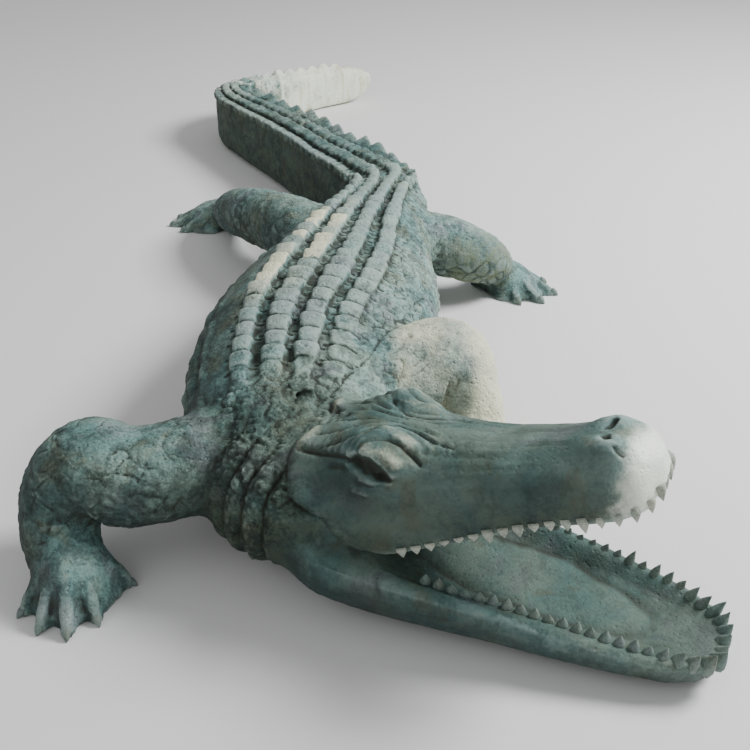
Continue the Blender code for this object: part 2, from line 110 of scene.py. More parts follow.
# skull: place along, half width, lip and top
skullRows = (
    (-0.80, 0.70, 0.10, 0.95), (-0.35, 0.94, -0.10, 1.26), (0.20, 1.04, -0.16, 1.30),
    (0.90, 1.04, -0.22, 1.26), (1.40, 0.97, -0.20, 1.08), (1.95, 0.89, -0.14, 0.90),
    (2.60, 0.82, -0.07, 0.77), (3.20, 0.78, -0.02, 0.72), (3.75, 0.76, -0.02, 0.71),
    (4.10, 0.68, 0.00, 0.70), (4.32, 0.50, 0.04, 0.58), (4.46, 0.16, 0.14, 0.40),
)
# swellings of the skull: along, out, up; reach along and across; rise
skullSwellings = (
    ((1.10, 0.62, 1.16), (0.48, 0.26), 0.22),
    ((1.08, 0.92, 0.80), (0.28, 0.20), 0.10),
    ((-0.14, 0.78, 1.12), (0.30, 0.26), 0.18),
    ((3.86, 0.26, 0.74), (0.28, 0.18), 0.11),
    ((0.10, 1.00, 0.30), (0.60, 0.36), 0.16),
)
# lower jaw: place along, half width, rim, floor, underside
chinRows = (
    (-0.80, 1.10, 0.00, 0.00, -0.74), (0.00, 1.36, 0.00, 0.02, -0.86), (0.80, 1.32, -0.04, -0.16, -0.86),
    (1.60, 1.22, -0.03, -0.22, -0.78), (2.60, 1.08, 0.00, -0.22, -0.66), (3.60, 0.96, 0.00, -0.20, -0.54),
    (4.30, 0.84, 0.00, -0.16, -0.44), (4.80, 0.68, 0.02, -0.06, -0.38), (5.10, 0.46, 0.04, 0.02, -0.30),
    (5.24, 0.16, 0.02, 0.02, -0.20),
)
# where the body's rows change, as shares of the spine's length
shares = {
    "trunkEnd": 0.40, "crestStart": 0.46, "crestsMeet": 0.80, "singleCrest": 0.86,
}
# where the rows of scutes run, as shares of the half width: on the trunk, the tail and its tip
scuteRows = {"inner": (0.145, 0.31, 0.22), "outer": (0.43, 0.80, 0.60)}
hide = {
    "voxel": 0.0028, "mostTriangles": 192000, "blendReach": 0.030, "blendRounds": 70,
    "scutePitch": 0.036, "crestPitch": 0.050, "scuteRise": 0.015, "crestRise": 0.030, "rowsStart": 0.068,
    "neckFoldPitch": 0.036, "neckFoldRise": 0.014, "seed": 7,
}
# carving on the skull, on both sides: places along the jaw and degrees up round it, from the
# eye's level; then the stroke's half width and how far it stands out, or in, in squares
skullStrokes = {
    "knob": (((-0.04, 58), (0.04, 64), (0.10, 72)), 0.12, 0.060),
    "browPad": (((1.06, 49), (1.20, 46), (1.36, 38)), 0.105, 0.060),
    "crownPad": (((1.16, 69), (1.33, 65), (1.48, 57)), 0.105, 0.048),
    "eyeHollow": (((0.86, 41), (1.02, 38), (1.20, 30)), 0.072, -0.105),
    "crownEdge": (((-0.04, 53), (0.29, 49), (0.63, 45), (0.82, 41), (0.96, 34), (1.10, 29), (1.28, 26)),
                  0.030, -0.050),
    "crownLip": (((0.00, 58), (0.29, 55), (0.62, 51), (0.82, 47)), 0.045, 0.020),
    "upperLid": (((0.78, 45), (0.95, 48), (1.10, 45), (1.22, 36), (1.32, 28)), 0.026, 0.040),
    "lowerLid": (((0.92, 29), (1.10, 24), (1.28, 24)), 0.030, 0.018),
    "padLine": (((0.93, 48), (1.02, 53), (1.12, 56), (1.26, 58), (1.41, 54), (1.55, 45), (1.65, 37)), 0.026, -0.040),
    "overPads": (((0.29, 54), (0.63, 57), (0.88, 62), (1.03, 73), (1.24, 80), (1.49, 76), (1.70, 66), (2.0, 57)),
                 0.024, -0.032),
    "crownLine": (((0.20, 84), (0.60, 82), (1.02, 85), (1.27, 85), (1.66, 79)), 0.022, -0.026),
    "crownCrease": (((0.15, 66), (0.50, 69), (0.80, 75), (0.98, 80)), 0.022, -0.024),
    "snoutUpper": (((1.72, 62), (2.10, 60), (2.60, 58), (2.90, 58)), 0.040, -0.014),
    "snoutMiddle": (((1.66, 50), (2.10, 46), (2.50, 44)), 0.045, -0.013),
    "snoutLower": (((1.80, 34), (2.30, 31), (2.60, 30)), 0.050, -0.012),
    "cheekBump": (((0.80, 21), (0.96, 18)), 0.050, 0.034),
    "cheekFold": (((0.84, 26), (1.02, 23), (1.20, 23)), 0.026, -0.022),
    "cheekCrease": (((0.45, 39), (0.66, 37)), 0.028, -0.028),
    "nostril": (((3.86, 78), (3.92, 64)), 0.052, -0.075),
    "tipScratch": (((4.02, 50), (4.06, 42), (4.12, 35)), 0.026, -0.030),
}
# the skull's hinder edge, from the jaw's flange up to the crown: degrees, and the place along
skullEdge = ((-34, 0.80), (-28, 0.60), (-20, 0.42), (4, 0.28), (7, 0.11), (20, -0.15), (40, -0.17),
             (56, -0.14), (66, -0.06), (76, 0.12), (84, 0.38), (90, 0.50))
squaresInDegree = 0.0166


def stepsOf(rows, places):
    # the rows, how far apart their places are, and how far along each one is
    rows = np.array(rows, float)
    steps = np.linalg.norm(np.diff(rows[:, :places], axis=0), axis=1)
    return rows, steps, np.concatenate([[0], np.cumsum(steps)])


def smoothRows(rows, distances, places):
    # the rows' columns at these distances, on a smooth curve; the first columns are places
    rows, steps, reached = stepsOf(rows, places)
    slopes = np.diff(rows, axis=0) / steps[:, None]
    weights = (steps[:-1] / (steps[:-1] + steps[1:]))[:, None]
    tangents = np.vstack([slopes[:1], slopes[1:] * weights + slopes[:-1] * (1 - weights), slopes[-1:]])
    distances = np.clip(distances, 0, reached[-1])
    i = np.clip(np.searchsorted(reached, distances, side="right") - 1, 0, len(steps) - 1)
    span = steps[i][:, None]
    t = (distances - reached[i])[:, None] / span
    start = (1 + 2 * t) * (1 - t) ** 2 * rows[i] + t * (1 - t) ** 2 * span * tangents[i]
    return start + t * t * (3 - 2 * t) * rows[i + 1] + t * t * (t - 1) * span * tangents[i + 1]


def evenly(rows, places, count):
    # this many distances along the rows
    return np.linspace(0, stepsOf(rows, places)[2][-1], count)


def waysAt(rows, distances, places, look):
    # where the path heads at these distances
    return (smoothRows(rows, distances + look, places) - smoothRows(rows, distances - look, places))[:, :places]


def ramp(value, start, end):
    t = np.clip((np.asarray(value, float) - start) / (end - start), 0, 1)
    return t * t * (3 - 2 * t)


def below(value, start, end):
    return 1 - ramp(value, start, end)


def between(value, start, full, fading, end):
    return ramp(value, start, full) * below(value, fading, end)


def unit(vectors):
    return vectors / np.linalg.norm(vectors, axis=-1, keepdims=True)


def toRow(points):
    # squares on the plan to metres round the footprint's middle
    return np.asarray(points, float) * square - planMiddle


def around(count):
    return np.arange(count) * math.tau / count


def headingVector(degrees):
    return np.array((math.cos(math.radians(degrees)), math.sin(math.radians(degrees)), 0.0))


def loft(rings):
    # a closed skin over rings of equal count, with a point in the middle of each end
    rings = np.array(rings, float)
    count, sides = rings.shape[:2]
    points = np.vstack([rings.reshape(-1, 3), rings[0].mean(0), rings[-1].mean(0)])
    faces = []
    last = (count - 1) * sides
    for j in range(sides):
        k = (j + 1) % sides
        faces += [(i + j, i + k, i + sides + k, i + sides + j) for i in range(0, last, sides)]
        faces.append((count * sides, k, j))
        faces.append((count * sides + 1, last + j, last + k))
    return points, faces


def inScene(name, data, place=(0, 0, 0), turn=(0, 0, 0)):
    thing = bpy.data.objects.new(name, data)
    thing.location, thing.rotation_euler = place, turn
    bpy.context.scene.collection.objects.link(thing)
    return thing


def newPiece(name, points, faces, edges=(), outward=True):
    mesh = bpy.data.meshes.new(name)
    mesh.from_pydata([tuple(p) for p in points], list(edges), faces)
    if faces and outward:
        work = bmesh.new()
        work.from_mesh(mesh)
        bmesh.ops.recalc_face_normals(work, faces=work.faces)
        work.to_mesh(mesh)
        work.free()
    return inScene(name, mesh)


def bakedMesh(piece):
    # the piece with its modifiers made into plain mesh
    graph = bpy.context.evaluated_depsgraph_get()
    mesh = bpy.data.meshes.new_from_object(piece.evaluated_get(graph), depsgraph=graph)
    piece.modifiers.clear()
    piece.data = mesh
    return piece


def joined(name, pieces):
    points, faces = [], []
    for piece in pieces:
        first = len(points)
        points += [v.co.copy() for v in piece.data.vertices]
        faces += [tuple(first + v for v in f.vertices) for f in piece.data.polygons]
        bpy.data.objects.remove(piece)
    return newPiece(name, points, faces, outward=False)


def columnsOf(items, label, wide, kind=np.float32):
    values = np.empty(len(items) * wide, kind)
    items.foreach_get(label, values)
    return values.reshape(-1, wide)


def coordinates(mesh):
    return columnsOf(mesh.vertices, "co", 3).astype(float)


def setCoordinates(mesh, points):
    mesh.vertices.foreach_set("co", np.asarray(points, np.float32).ravel())
    mesh.update()


def putAttribute(mesh, name, values, kind="FLOAT"):
    layer = mesh.attributes.new(name, kind, "POINT")
    layer.data.foreach_set("value" if kind == "FLOAT" else "vector", np.asarray(values, np.float32).ravel())


# chance values on a lattice, from whole-number cells
def chance(cells, salt):
    cells = cells.astype(np.int64)
    mixed = cells[..., 0] * 73856093 ^ cells[..., 1] * 19349663 ^ cells[..., 2] * 83492791 ^ (salt * 2654435761)
    mixed = (mixed ^ (mixed >> 13)) * 1274126177 & 0x7fffffff
    return ((mixed ^ (mixed >> 16)) & 0xffff) / 65535.0


def cloud(points, size, salt=0, layers=1):
    # smooth noise between -1 and 1, in layers of half the size
    total, weight, reach = np.zeros(len(points)), 0.0, 1.0
    for layer in range(layers):
        places = points / (size / 2 ** layer)
        cells = np.floor(places)
        t = places - cells
        t = t * t * (3 - 2 * t)
        value = np.zeros(len(points))
        for corner in range(8):
            step = np.array((corner & 1, corner >> 1 & 1, corner >> 2 & 1))
            share = np.prod(np.where(step, t, 1 - t), axis=1)
            value += share * chance(cells + step, salt + layer + hide["seed"])
        total += reach * (value * 2 - 1)
        weight += reach
        reach *= 0.5
    return total / weight


def crackedCells(points, size, salt=0):
    # irregular cells: how far a point is from its cell's edge (0 at a crack), and the cell's chance
    places = points / size
    cells = np.floor(places)
    near = np.full(len(points), 9.0)
    following = np.full(len(points), 9.0)
    own = np.zeros(len(points))
    for step in np.ndindex(3, 3, 3):
        cell = cells + step - 1
        centre = cell + np.stack([chance(cell, salt + n) for n in (11, 12, 13)], axis=1) * 0.8 + 0.1
        away = np.linalg.norm(places - centre, axis=1)
        closer = away < near
        following = np.where(closer, near, np.minimum(following, away))
        own = np.where(closer, chance(cell, salt + 14), own)
        near = np.where(closer, away, near)
    return following - near, own


# node trees

def addNode(tree, kind, values=(), **settings):
    node = tree.nodes.new(kind)
    for name, value in settings.items():
        setattr(node, name, value)
    for label, value in dict(values).items():
        socket = socketOf(node.inputs, label)
        if isinstance(value, bpy.types.NodeSocket):
            tree.links.new(value, socket)
        else:
            socket.default_value = value
    return node


def socketOf(sockets, label):
    # by its number, or the one in use among those of this name
    return sockets[label] if isinstance(label, int) else [s for s in sockets if s.name == label and s.enabled][0]


def newTree(kind, name, inputs, outputs):
    # a group of nodes, what it is given and what it puts out
    tree = bpy.data.node_groups.new(name, kind + "NodeTree")
    for way, sockets in (("INPUT", inputs), ("OUTPUT", outputs)):
        for label, socketKind, *value in sockets:
            socket = tree.interface.new_socket(label, in_out=way, socket_type="NodeSocket" + socketKind)
            if value:
                socket.default_value = value[0]
    return tree, addNode(tree, "NodeGroupInput").outputs, addNode(tree, "NodeGroupOutput").inputs


def maths(tree, operation, first, second, clamp=False):
    return addNode(tree, "ShaderNodeMath", {0: first, 1: second}, operation=operation, use_clamp=clamp).outputs[0]


def times(tree, first, second, clamp=False):
    return maths(tree, "MULTIPLY", first, second, clamp)


def named(tree, label, kind="FLOAT"):
    return addNode(tree, "GeometryNodeInputNamedAttribute", {"Name": label}, data_type=kind).outputs["Attribute"]


def grown(piece, tree, values):
    modifier = piece.modifiers.new(tree.name, "NODES")
    modifier.node_group = tree
    for item in tree.interface.items_tree:
        if item.in_out == "INPUT" and item.name in values:
            modifier[item.identifier] = values[item.name]
    return bakedMesh(piece)


def shapesOn(tree, given, out, points, size):
    # shapes on the points, each square to the points' stand and way, as real mesh in its material
    turned = {}
    for label, settings in (("stand", {"axis": "Z"}), ("way", {"axis": "X", "pivot_axis": "Z"})):
        node = addNode(tree, "FunctionNodeAlignRotationToVector",
                       {**turned, "Vector": named(tree, label, "FLOAT_VECTOR")}, **settings)
        turned = {"Rotation": node.outputs["Rotation"]}
    shape = addNode(tree, "GeometryNodeObjectInfo", {"Object": given["Shape"]})
    scale = addNode(tree, "ShaderNodeCombineXYZ", dict(zip("XYZ", size)))
    placed = addNode(tree, "GeometryNodeInstanceOnPoints",
                     {"Points": points, "Instance": shape.outputs["Geometry"], "Scale": scale.outputs["Vector"],
                      **turned})
    real = addNode(tree, "GeometryNodeRealizeInstances", {"Geometry": placed.outputs["Instances"]})
    finish = addNode(tree, "GeometryNodeSetMaterial",
                     {"Geometry": real.outputs["Geometry"], "Material": given["Material"]})
    tree.links.new(finish.outputs["Geometry"], out["Geometry"])
    return tree


def rowTree(name):
    # shapes along a path, each with its own size
    tree, given, out = newTree(
        "Geometry", name,
        (("Geometry", "Geometry"), ("Shape", "Object"), ("Pitch", "Float", 0.05), ("Overlap", "Float", 1.1),
         ("Unevenness", "Float", 0.1), ("Seed", "Int", 1), ("Material", "Material")), (("Geometry", "Geometry"),))
    path = addNode(tree, "GeometryNodeMeshToCurve", {"Mesh": given["Geometry"]})
    spaced = addNode(tree, "GeometryNodeResampleCurve", {"Curve": path.outputs["Curve"], "Length": given["Pitch"]},
                     mode="LENGTH")
    low, high = (maths(tree, operation, 1.0, given["Unevenness"]) for operation in ("SUBTRACT", "ADD"))
    spread = addNode(tree, "FunctionNodeRandomValue", {"Min": low, "Max": high, "Seed": given["Seed"]},
                     data_type="FLOAT")
    chanced = socketOf(spread.outputs, "Value")
    wide, tall = (times(tree, named(tree, label), chanced) for label in ("wide", "rise"))
    return shapesOn(tree, given, out, spaced.outputs["Curve"],
                    (times(tree, given["Pitch"], given["Overlap"]), wide, tall))


def pathPiece(name, points, stands, ways, wides, rises):
    # an open path for a row tree, with what each place on it needs
    piece = newPiece(name, points, [], [(i, i + 1) for i in range(len(points) - 1)])
    for label, values in (("stand", stands), ("way", ways)):
        putAttribute(piece.data, label, values, "FLOAT_VECTOR")
    for label, values in (("wide", wides), ("rise", rises)):
        putAttribute(piece.data, label, np.zeros(len(points)) + values)
    return piece


# the body's skin, without its carving

spineSteps = 1100
spineAt = evenly(spineRows, 2, spineSteps)
wholeSpine = spineAt[-1]
spinePath = smoothRows(spineRows, spineAt, 2)
spineWays = unit(waysAt(spineRows, spineAt, 2, 0.05))


def spineAcross(way):
    return np.array((way[1], -way[0], 0.0))


def sectionPlace(row, angle, topShape, lowShape):
    # a place on the body's section: across and up, in squares
    c, s = math.cos(angle), math.sin(angle)
    halfWidth, low, high = row[2], max(row[3], 0), row[4]
    shape = topShape if s > 0 else lowShape
    out = halfWidth * math.copysign(abs(c) ** (2 / shape), c)
    up = (low + high) / 2 + (high - low) / 2 * math.copysign(abs(s) ** (2 / shape), s)
    return out, up


def bodyForm():
    rings = []
    for i in [*range(0, spineSteps - 1, 5), spineSteps - 1]:
        row, across = spinePath[i].copy(), spineAcross(spineWays[i])
        past = max(0, 1 - (wholeSpine - spineAt[i]) / 0.55)
        row[3] += (row[4] - row[3]) * 0.62 * (1 - math.sqrt(1 - past ** 2 * 0.96))
        row[4] -= (row[4] - row[3]) * 0.30 * (1 - math.sqrt(1 - past ** 2 * 0.96))
        onTail = ramp(i / spineSteps, shares["trunkEnd"], shares["crestStart"])
        ring = []
        for angle in around(56):
            out, up = sectionPlace(row, angle, row[5] + 0.7 * onTail, 2.7 + 2.3 * onTail)
            ring.append(np.array((row[0], row[1], up)) + across * out)
        rings.append(ring)
    return loft(toRow(rings))


def jawFrame(heading, slope):
    turned = (Matrix.Rotation(math.radians(heading), 4, "Z")
              @ Matrix.Rotation(-math.radians(slope), 4, "Y"))
    return (Matrix.Translation(-Vector(planMiddle)) @ Matrix.Translation(Vector(jaws["hinge"]) * square)
            @ turned @ Matrix.Scale(square, 4))


upperFrame = jawFrame(jaws["upperHeading"], jaws["upperSlope"])
lowerFrame = jawFrame(jaws["lowerHeading"], jaws["lowerSlope"])


def inFrame(matrix, points):
    points = np.asarray(points, float)
    full = np.array(matrix)
    return points @ full[:3, :3].T + full[:3, 3]


def intoFrame(matrix, points):
    return inFrame(matrix.inverted(), points)


def swellingAt(along, out, up):
    rise = 0
    for place, (reachAlong, reachAcross), height in skullSwellings:
        across = math.hypot(abs(out) - place[1], up - place[2])
        rise += height * math.exp(-((along - place[0]) / reachAlong) ** 2 - (across / reachAcross) ** 2)
    return rise


def skullForm():
    rings = []
    for along, halfWidth, lip, top in smoothRows(skullRows, evenly(skullRows, 1, 110), 1):
        ring = []
        for angle in np.radians(np.linspace(2, 178, 61)):
            c, s = math.cos(angle), math.sin(angle)
            out = halfWidth * math.copysign(abs(c) ** 0.8, c)
            up = lip + (top - lip) * s ** 0.8
            rise = swellingAt(along, out, up)
            ring.append((along, out + rise * c, up + rise * s))
        hollow = 0.10 * ramp(halfWidth, 0.4, 0.7)
        under = ((0.97, -0.02), (0.86, -0.03), (0.70, 0.3 * hollow), (0.45, hollow), (0.0, hollow * 1.1))
        ring += [(along, -halfWidth * share, lip + drop) for share, drop in under]
        ring += [(along, halfWidth * share, lip + drop) for share, drop in reversed(under[:-1])]
        rings.append(inFrame(upperFrame, ring))
    return loft(rings)


def chinForm():
    rings = []
    for along, halfWidth, rim, floor, under in smoothRows(chinRows, evenly(chinRows, 1, 110), 1):
        half = [(0.0, floor), (0.40, floor), (0.62, floor * 0.75 + rim * 0.25), (0.76, rim - 0.04), (0.84, rim),
                (0.92, rim), (0.985, rim - 0.04)]
        depths = ((1.02, 0.3), (1.0, 0.55), (0.93, 0.78), (0.75, 0.94), (0.45, 1.0), (0.0, 1.0))
        half += [(out, rim + (under - rim) * depth) for out, depth in depths]
        ring = [(along, halfWidth * share, up) for share, up in half]
        ring += [(along, -halfWidth * share, up) for share, up in reversed(half[1:-1])]
        rings.append(inFrame(lowerFrame, ring))
    return loft(rings)


def tubeForm(rows, sides=30, spacing=0.10, look=0.40):
    at = evenly(rows, 3, max(4, round(stepsOf(rows, 3)[2][-1] / spacing)))
    rings = []
    turn = Vector((0, 0, 1))
    for row, way in zip(smoothRows(rows, at, 3), waysAt(rows, at, 3, look)):
        way = Vector(way).normalized()
        turn = (turn - way * turn.dot(way)).normalized()
        other = way.cross(turn)
        rings.append([np.array(Vector(row[:3]) + (turn * math.cos(a) + other * math.sin(a)) * row[3])
                      for a in around(sides)])
    rings = toRow(rings)
    rings[..., 2] = np.maximum(rings[..., 2], 0)
    return loft(rings)


def toeForm(place, heading, reach, tall):
    # one toe, a ridge that leaves the web's surface and narrows to its end
    way = headingVector(heading)
    across = np.array((-way[1], way[0], 0.0))
    rings = []
    for share in np.linspace(foot["toeStops"][0], 1, 16):
        radius = np.interp(share, foot["toeStops"], foot["toeRadii"])
        top = np.interp(share, foot["toeStops"], foot["toeTops"]) * tall
        low = max(top - radius, 0.01)
        centre = np.array((*place, 0.0)) + way * reach * share
        section = [(radius * 1.5, 0.0), (radius * 1.2, low * 0.5)]
        section += [(radius * math.cos(a), low + (top - low) * math.sin(a)) for a in np.linspace(0, math.pi, 9)]
        section += [(-radius * 1.2, low * 0.5), (-radius * 1.5, 0.0)]
        rings.append([centre + across * out + (0, 0, up) for out, up in section])
    return loft(toRow(rings))


def webForm(place, toes, tall):
    # the web and palm, flat below, as rings round the ankle
    ordered = sorted(toes)
    stops = [(heading, reach * 0.90) for heading, reach in ordered]
    stops += [((a + b) / 2, (near + far) / 2 * foot["webReach"]) for (a, near), (b, far) in zip(ordered, ordered[1:])]
    first, last = ordered[0][0], ordered[-1][0]
    gap = first + 360 - last
    stops += [(last + gap * share, foot["heelReach"]) for share in (0.2, 0.4, 0.6, 0.8)]
    stops = sorted(stops) + [(first + 360, ordered[0][1] * 0.90)]
    headings = np.linspace(first, first + 360, 73)[:-1]
    rim = [headingVector(h) * r for h, r in zip(headings, np.interp(headings, *np.array(stops).T))]
    circles = (0.05, 0.2, 0.35, 0.5, 0.6, 0.7, 0.8, 0.88, 0.95, 1.0)
    heights = [*(np.interp(circles, foot["webStops"], foot["webTops"]) * tall), 0, 0]
    return loft(toRow([[np.array((*place, height)) + r * circle for r in rim]
                       for circle, height in zip((*circles, 1.0, 0.5), heights)]))


def eyeForm(out):
    work = bmesh.new()
    shape = Matrix.Translation((1.07, 0.81 * out, 0.87)) @ Matrix.Diagonal((0.15, 0.09, 0.075, 1))
    bmesh.ops.create_icosphere(work, subdivisions=3, radius=1, matrix=upperFrame @ shape)
    points = [v.co.copy() for v in work.verts]
    faces = [[v.index for v in f.verts] for f in work.faces]
    work.free()
    return points, faces


# scutes: a plate with a low keel, a taller crest tooth, and their rows

def plateShape(name, keel, crown, sharp, front, back, skirt, lobed=False):
    # a unit plate, one long and one wide, that rises and widens to its hinder edge
    side = 9
    top = []
    for x in np.linspace(0, 1, side):
        rise = (front + (1 - front) * min(x / 0.80, 1)) * (1 - back * max(0, x - 0.84) / 0.16)
        if lobed:
            rise = 1 - 0.9 * abs(2 * x - 1) ** 2.6
        inset = 0.78 + 0.22 * min(x / 0.8, 1) - 0.10 * max(0, x - 0.88) / 0.12
        for y in np.linspace(-1, 1, side):
            z = rise * ((1 - keel) * (1 - 0.35 * abs(y) ** crown) + keel * (1 - abs(y)) ** sharp)
            top.append((x - 0.5, y * 0.5 * inset + 0.06 * (x - 0.5) * (1 - x), z))
    count = len(top)
    faces = []
    for a in (i * side + j for i in range(side - 1) for j in range(side - 1)):
        b, c, d = a + 1, a + side + 1, a + side
        faces += [(a, b, c, d), (count + a, count + d, count + c, count + b)]
    edge = [*range(0, count, side), *range(count - side + 1, count), *range(count - side - 1, 0, -side),
            *range(side - 2, 0, -1)]
    faces += [(a, b, count + b, count + a) for a, b in zip(edge, edge[1:] + edge[:1])]
    return newPiece(name, top + [(x, y, -skirt) for x, y, z in top], faces)


def rowShare(rowName, share):
    trunk, tail, tip = scuteRows[rowName]
    onTail = ramp(share, shares["trunkEnd"] - 0.04, shares["crestStart"] - 0.02)
    onTip = ramp(share, shares["crestsMeet"], shares["singleCrest"])
    return (trunk * (1 - onTail) + tail * onTail) * (1 - onTip) + tip * onTip


plateGaps = []


def scuteRow(name, rowName, side, start, end, riseOf, wideOf, shape, pitch, seed, overlap=1.0, lean=0.0):
    share = np.linspace(start, end, 160)
    i = np.minimum((share * (spineSteps - 1)).astype(int), spineSteps - 1)
    row = spinePath[i].T
    ways = np.column_stack([spineWays[i], share * 0])
    across = np.stack([ways[:, 1], -ways[:, 0], ways[:, 2]], axis=1)
    u = rowShare(rowName, share) if rowName else share * 0
    squareness = row[5] + 0.7 * ramp(share, shares["trunkEnd"], shares["crestStart"])
    up = (1 - u ** squareness) ** (1 / squareness)
    low = np.maximum(row[3], 0)
    middle, halfHeight = (low + row[4]) / 2, (row[4] - low) / 2
    out = unit(np.stack([u ** (squareness - 1) / row[2], up ** (squareness - 1) / halfHeight], axis=1))
    places = np.stack([row[0], row[1], middle + halfHeight * up], axis=1) + across * (row[2] * u * side)[:, None]
    stands = across * out[:, :1] * side * (1 - lean)
    stands[:, 2] += out[:, 1] + lean
    # where one plate ends and the next begins, for the cracks between them
    reached = stepsOf(toRow(places), 3)[2]
    count = max(int(reached[-1] / pitch), 1)
    plateGaps.append((rowName, side, np.interp((np.arange(count) + 0.5) * reached[-1] / count, reached, share)))
    path = pathPiece(name, toRow(places), unit(stands), ways, wideOf(share, row[2] * square), riseOf(share))
    return path, {"Shape": shape, "Pitch": pitch, "Seed": seed, "Overlap": overlap, "Unevenness": 0.16}


def scuteForms(material):
    tree = rowTree("scute rows")
    plate = plateShape("scute plate", 0.10, 8.0, 1.4, 0.60, 0.10, 1.8)
    crest = plateShape("crest tooth", 0.85, 2.0, 0.9, 0.45, 0.60, 0.5)
    lobe = plateShape("crest lobe", 0.60, 2.0, 0.9, 0.5, 0.5, 0.8, True)
    rows = []
    trunk, crestsFrom, meet = hide["rowsStart"], shares["trunkEnd"] + 0.03, shares["crestsMeet"]
    rise, tall, pitch, crestPitch = (hide[n] for n in ("scuteRise", "crestRise", "scutePitch", "crestPitch"))

    def growing(share):
        return 0.35 + 0.65 * ramp(share, trunk, trunk + 0.03)

    for side in (1, -1):
        left = side < 0
        rows.append(scuteRow("innerScutes", "inner", side, trunk, shares["singleCrest"],
                             lambda s: rise * growing(s) * (1 - 0.6 * ramp(s, 0.38, 0.5)),
                             lambda s, half: half * (0.215 + 0.22 * ramp(s, 0.38, 0.46)), plate, pitch, 3 + side))
        rows.append(scuteRow("outerScutes", "outer", side, trunk, crestsFrom,
                             lambda s: rise * growing(s) * (1.2 if left else 0.5 + 0.5 * ramp(s, 0.12, 0.2)),
                             lambda s, half: half * 0.20, plate, pitch, 13 + side))
        rows.append(scuteRow("sideCrest", "outer", side, crestsFrom - 0.01, meet + 0.03,
                             lambda s: (tall * (0.6 + 0.4 * ramp(s, 0.42, 0.5)) * (1 - 0.55 * ramp(s, 0.76, 0.83))
                                        * (0.55 if left else 1.05)),
                             lambda s, half: 0.026, crest, crestPitch * (0.7 if left else 1.45), 33 + side,
                             1.15, 0.1))
    rows.append(scuteRow("tipCrest", "", 1, meet - 0.01, 0.950,
                         lambda s: tall * 0.62 * (0.4 + 0.6 * ramp(s, 0.80, 0.86)) * (1 - 0.7 * ramp(s, 0.93, 1.0)),
                         lambda s, half: 0.018, lobe, crestPitch * 0.85, 43, 1.05))
    forms = [grown(path, tree, {**values, "Material": material}) for path, values in rows]
    for helper in (plate, crest, lobe):
        bpy.data.objects.remove(helper)
    return forms


# colours and materials come first, because the node trees set them

def mixColour(tree, factor, first, second, blend="MIX"):
    node = addNode(tree, "ShaderNodeMix", {"Factor": factor, "A": first, "B": second}, data_type="RGBA",
                   blend_type=blend)
    return socketOf(node.outputs, "Result")


def band(tree, value, low, high):
    # 0 below low and 1 above high
    node = addNode(tree, "ShaderNodeMapRange", {"Value": value, "From Min": low, "From Max": high},
                   interpolation_type="SMOOTHSTEP")
    return node.outputs["Result"]


def noiseOf(tree, vector, scale, detail=4.0, rough=0.55, distortion=0.0):
    node = addNode(tree, "ShaderNodeTexNoise", {"Vector": vector, "Scale": scale, "Detail": detail,
                                                "Roughness": rough, "Distortion": distortion})
    return node.outputs["Fac"]


def patinaGroup():
    # drifting greys and greens with violet, ochre and brown patches and a broken mottle; the darker hollows and the
    # painted light and shade are laid on in the material
    tree, given, out = newTree(
        "Shader", "patina colours",
        (("Vector", "Vector"), ("Grey green", "Color", (0.192, 0.265, 0.240, 1)),
         ("Blue green", "Color", (0.108, 0.205, 0.205, 1)), ("Brown", "Color", (0.052, 0.060, 0.045, 1)),
         ("Violet", "Color", (0.190, 0.205, 0.232, 1)), ("Ochre", "Color", (0.170, 0.150, 0.085, 1)),
         ("Cloud size", "Float", 7.0), ("Brown share", "Float", 0.4), ("Contrast", "Float", 1.0)),
        (("Color", "Color"), ("Mottle", "Float")))
    large, small, speck, drift = (
        noiseOf(tree, given["Vector"], times(tree, given["Cloud size"], finer), *rest)
        for finer, *rest in ((1.0, 6.0, 0.65, 0.8), (5.0, 6.0, 0.72, 0.8), (34.0, 3.0, 0.6), (2.3, 3.0, 0.6, 0.5)))
    colour = mixColour(tree, band(tree, large, 0.38, 0.62), given["Grey green"], given["Blue green"])
    for low, high, most, name in ((0.54, 0.66, 0.55, "Violet"), (0.44, 0.34, 0.40, "Ochre")):
        colour = mixColour(tree, times(tree, band(tree, drift, low, high), most), colour, given[name])
    mottle = maths(tree, "ADD", times(tree, small, 0.65), times(tree, speck, 0.35))
    brown = times(tree, band(tree, mottle, 0.50, 0.68), given["Brown share"])
    colour = mixColour(tree, brown, colour, given["Brown"])
    for value, low, high, dark, light in (
            (speck, 0.38, 0.62, (0.74, 0.75, 0.75, 1), (1.22, 1.21, 1.20, 1)),
            (small, 0.40, 0.60, (0.60, 0.61, 0.60, 1), (1.34, 1.34, 1.32, 1))):
        broken = mixColour(tree, band(tree, value, low, high), dark, light)
        colour = mixColour(tree, given["Contrast"], colour, broken, "MULTIPLY")
    tree.links.new(colour, out["Color"])
    tree.links.new(mottle, out["Mottle"])
    return tree


def brokenMask(tree, given, label, spread, low, high):
    # a mask with an edge broken up by the mottle
    uneven = times(tree, maths(tree, "SUBTRACT", given["Mottle"], 0.5), spread)
    firm = band(tree, maths(tree, "ADD", given[label], uneven), low, high)
    return times(tree, firm, given["Strength"], True)


def paleWearAndSunlightGroup():
    # a pale colour through a broken mask: pale metal salts on raised edges and worn places, and painted sunlight
    tree, given, out = newTree(
        "Shader", "pale wear and sunlight",
        (("Color", "Color"), ("Mask", "Float", 0.0), ("Mottle", "Float", 0.5),
         ("Pale", "Color", (0.62, 0.64, 0.54, 1)), ("Strength", "Float", 1.0)),
        (("Color", "Color"), ("Worn", "Float")))
    amount = brokenMask(tree, given, "Mask", 0.9, 0.12, 0.85)
    tree.links.new(mixColour(tree, amount, given["Color"], given["Pale"]), out["Color"])
    tree.links.new(amount, out["Worn"])
    return tree


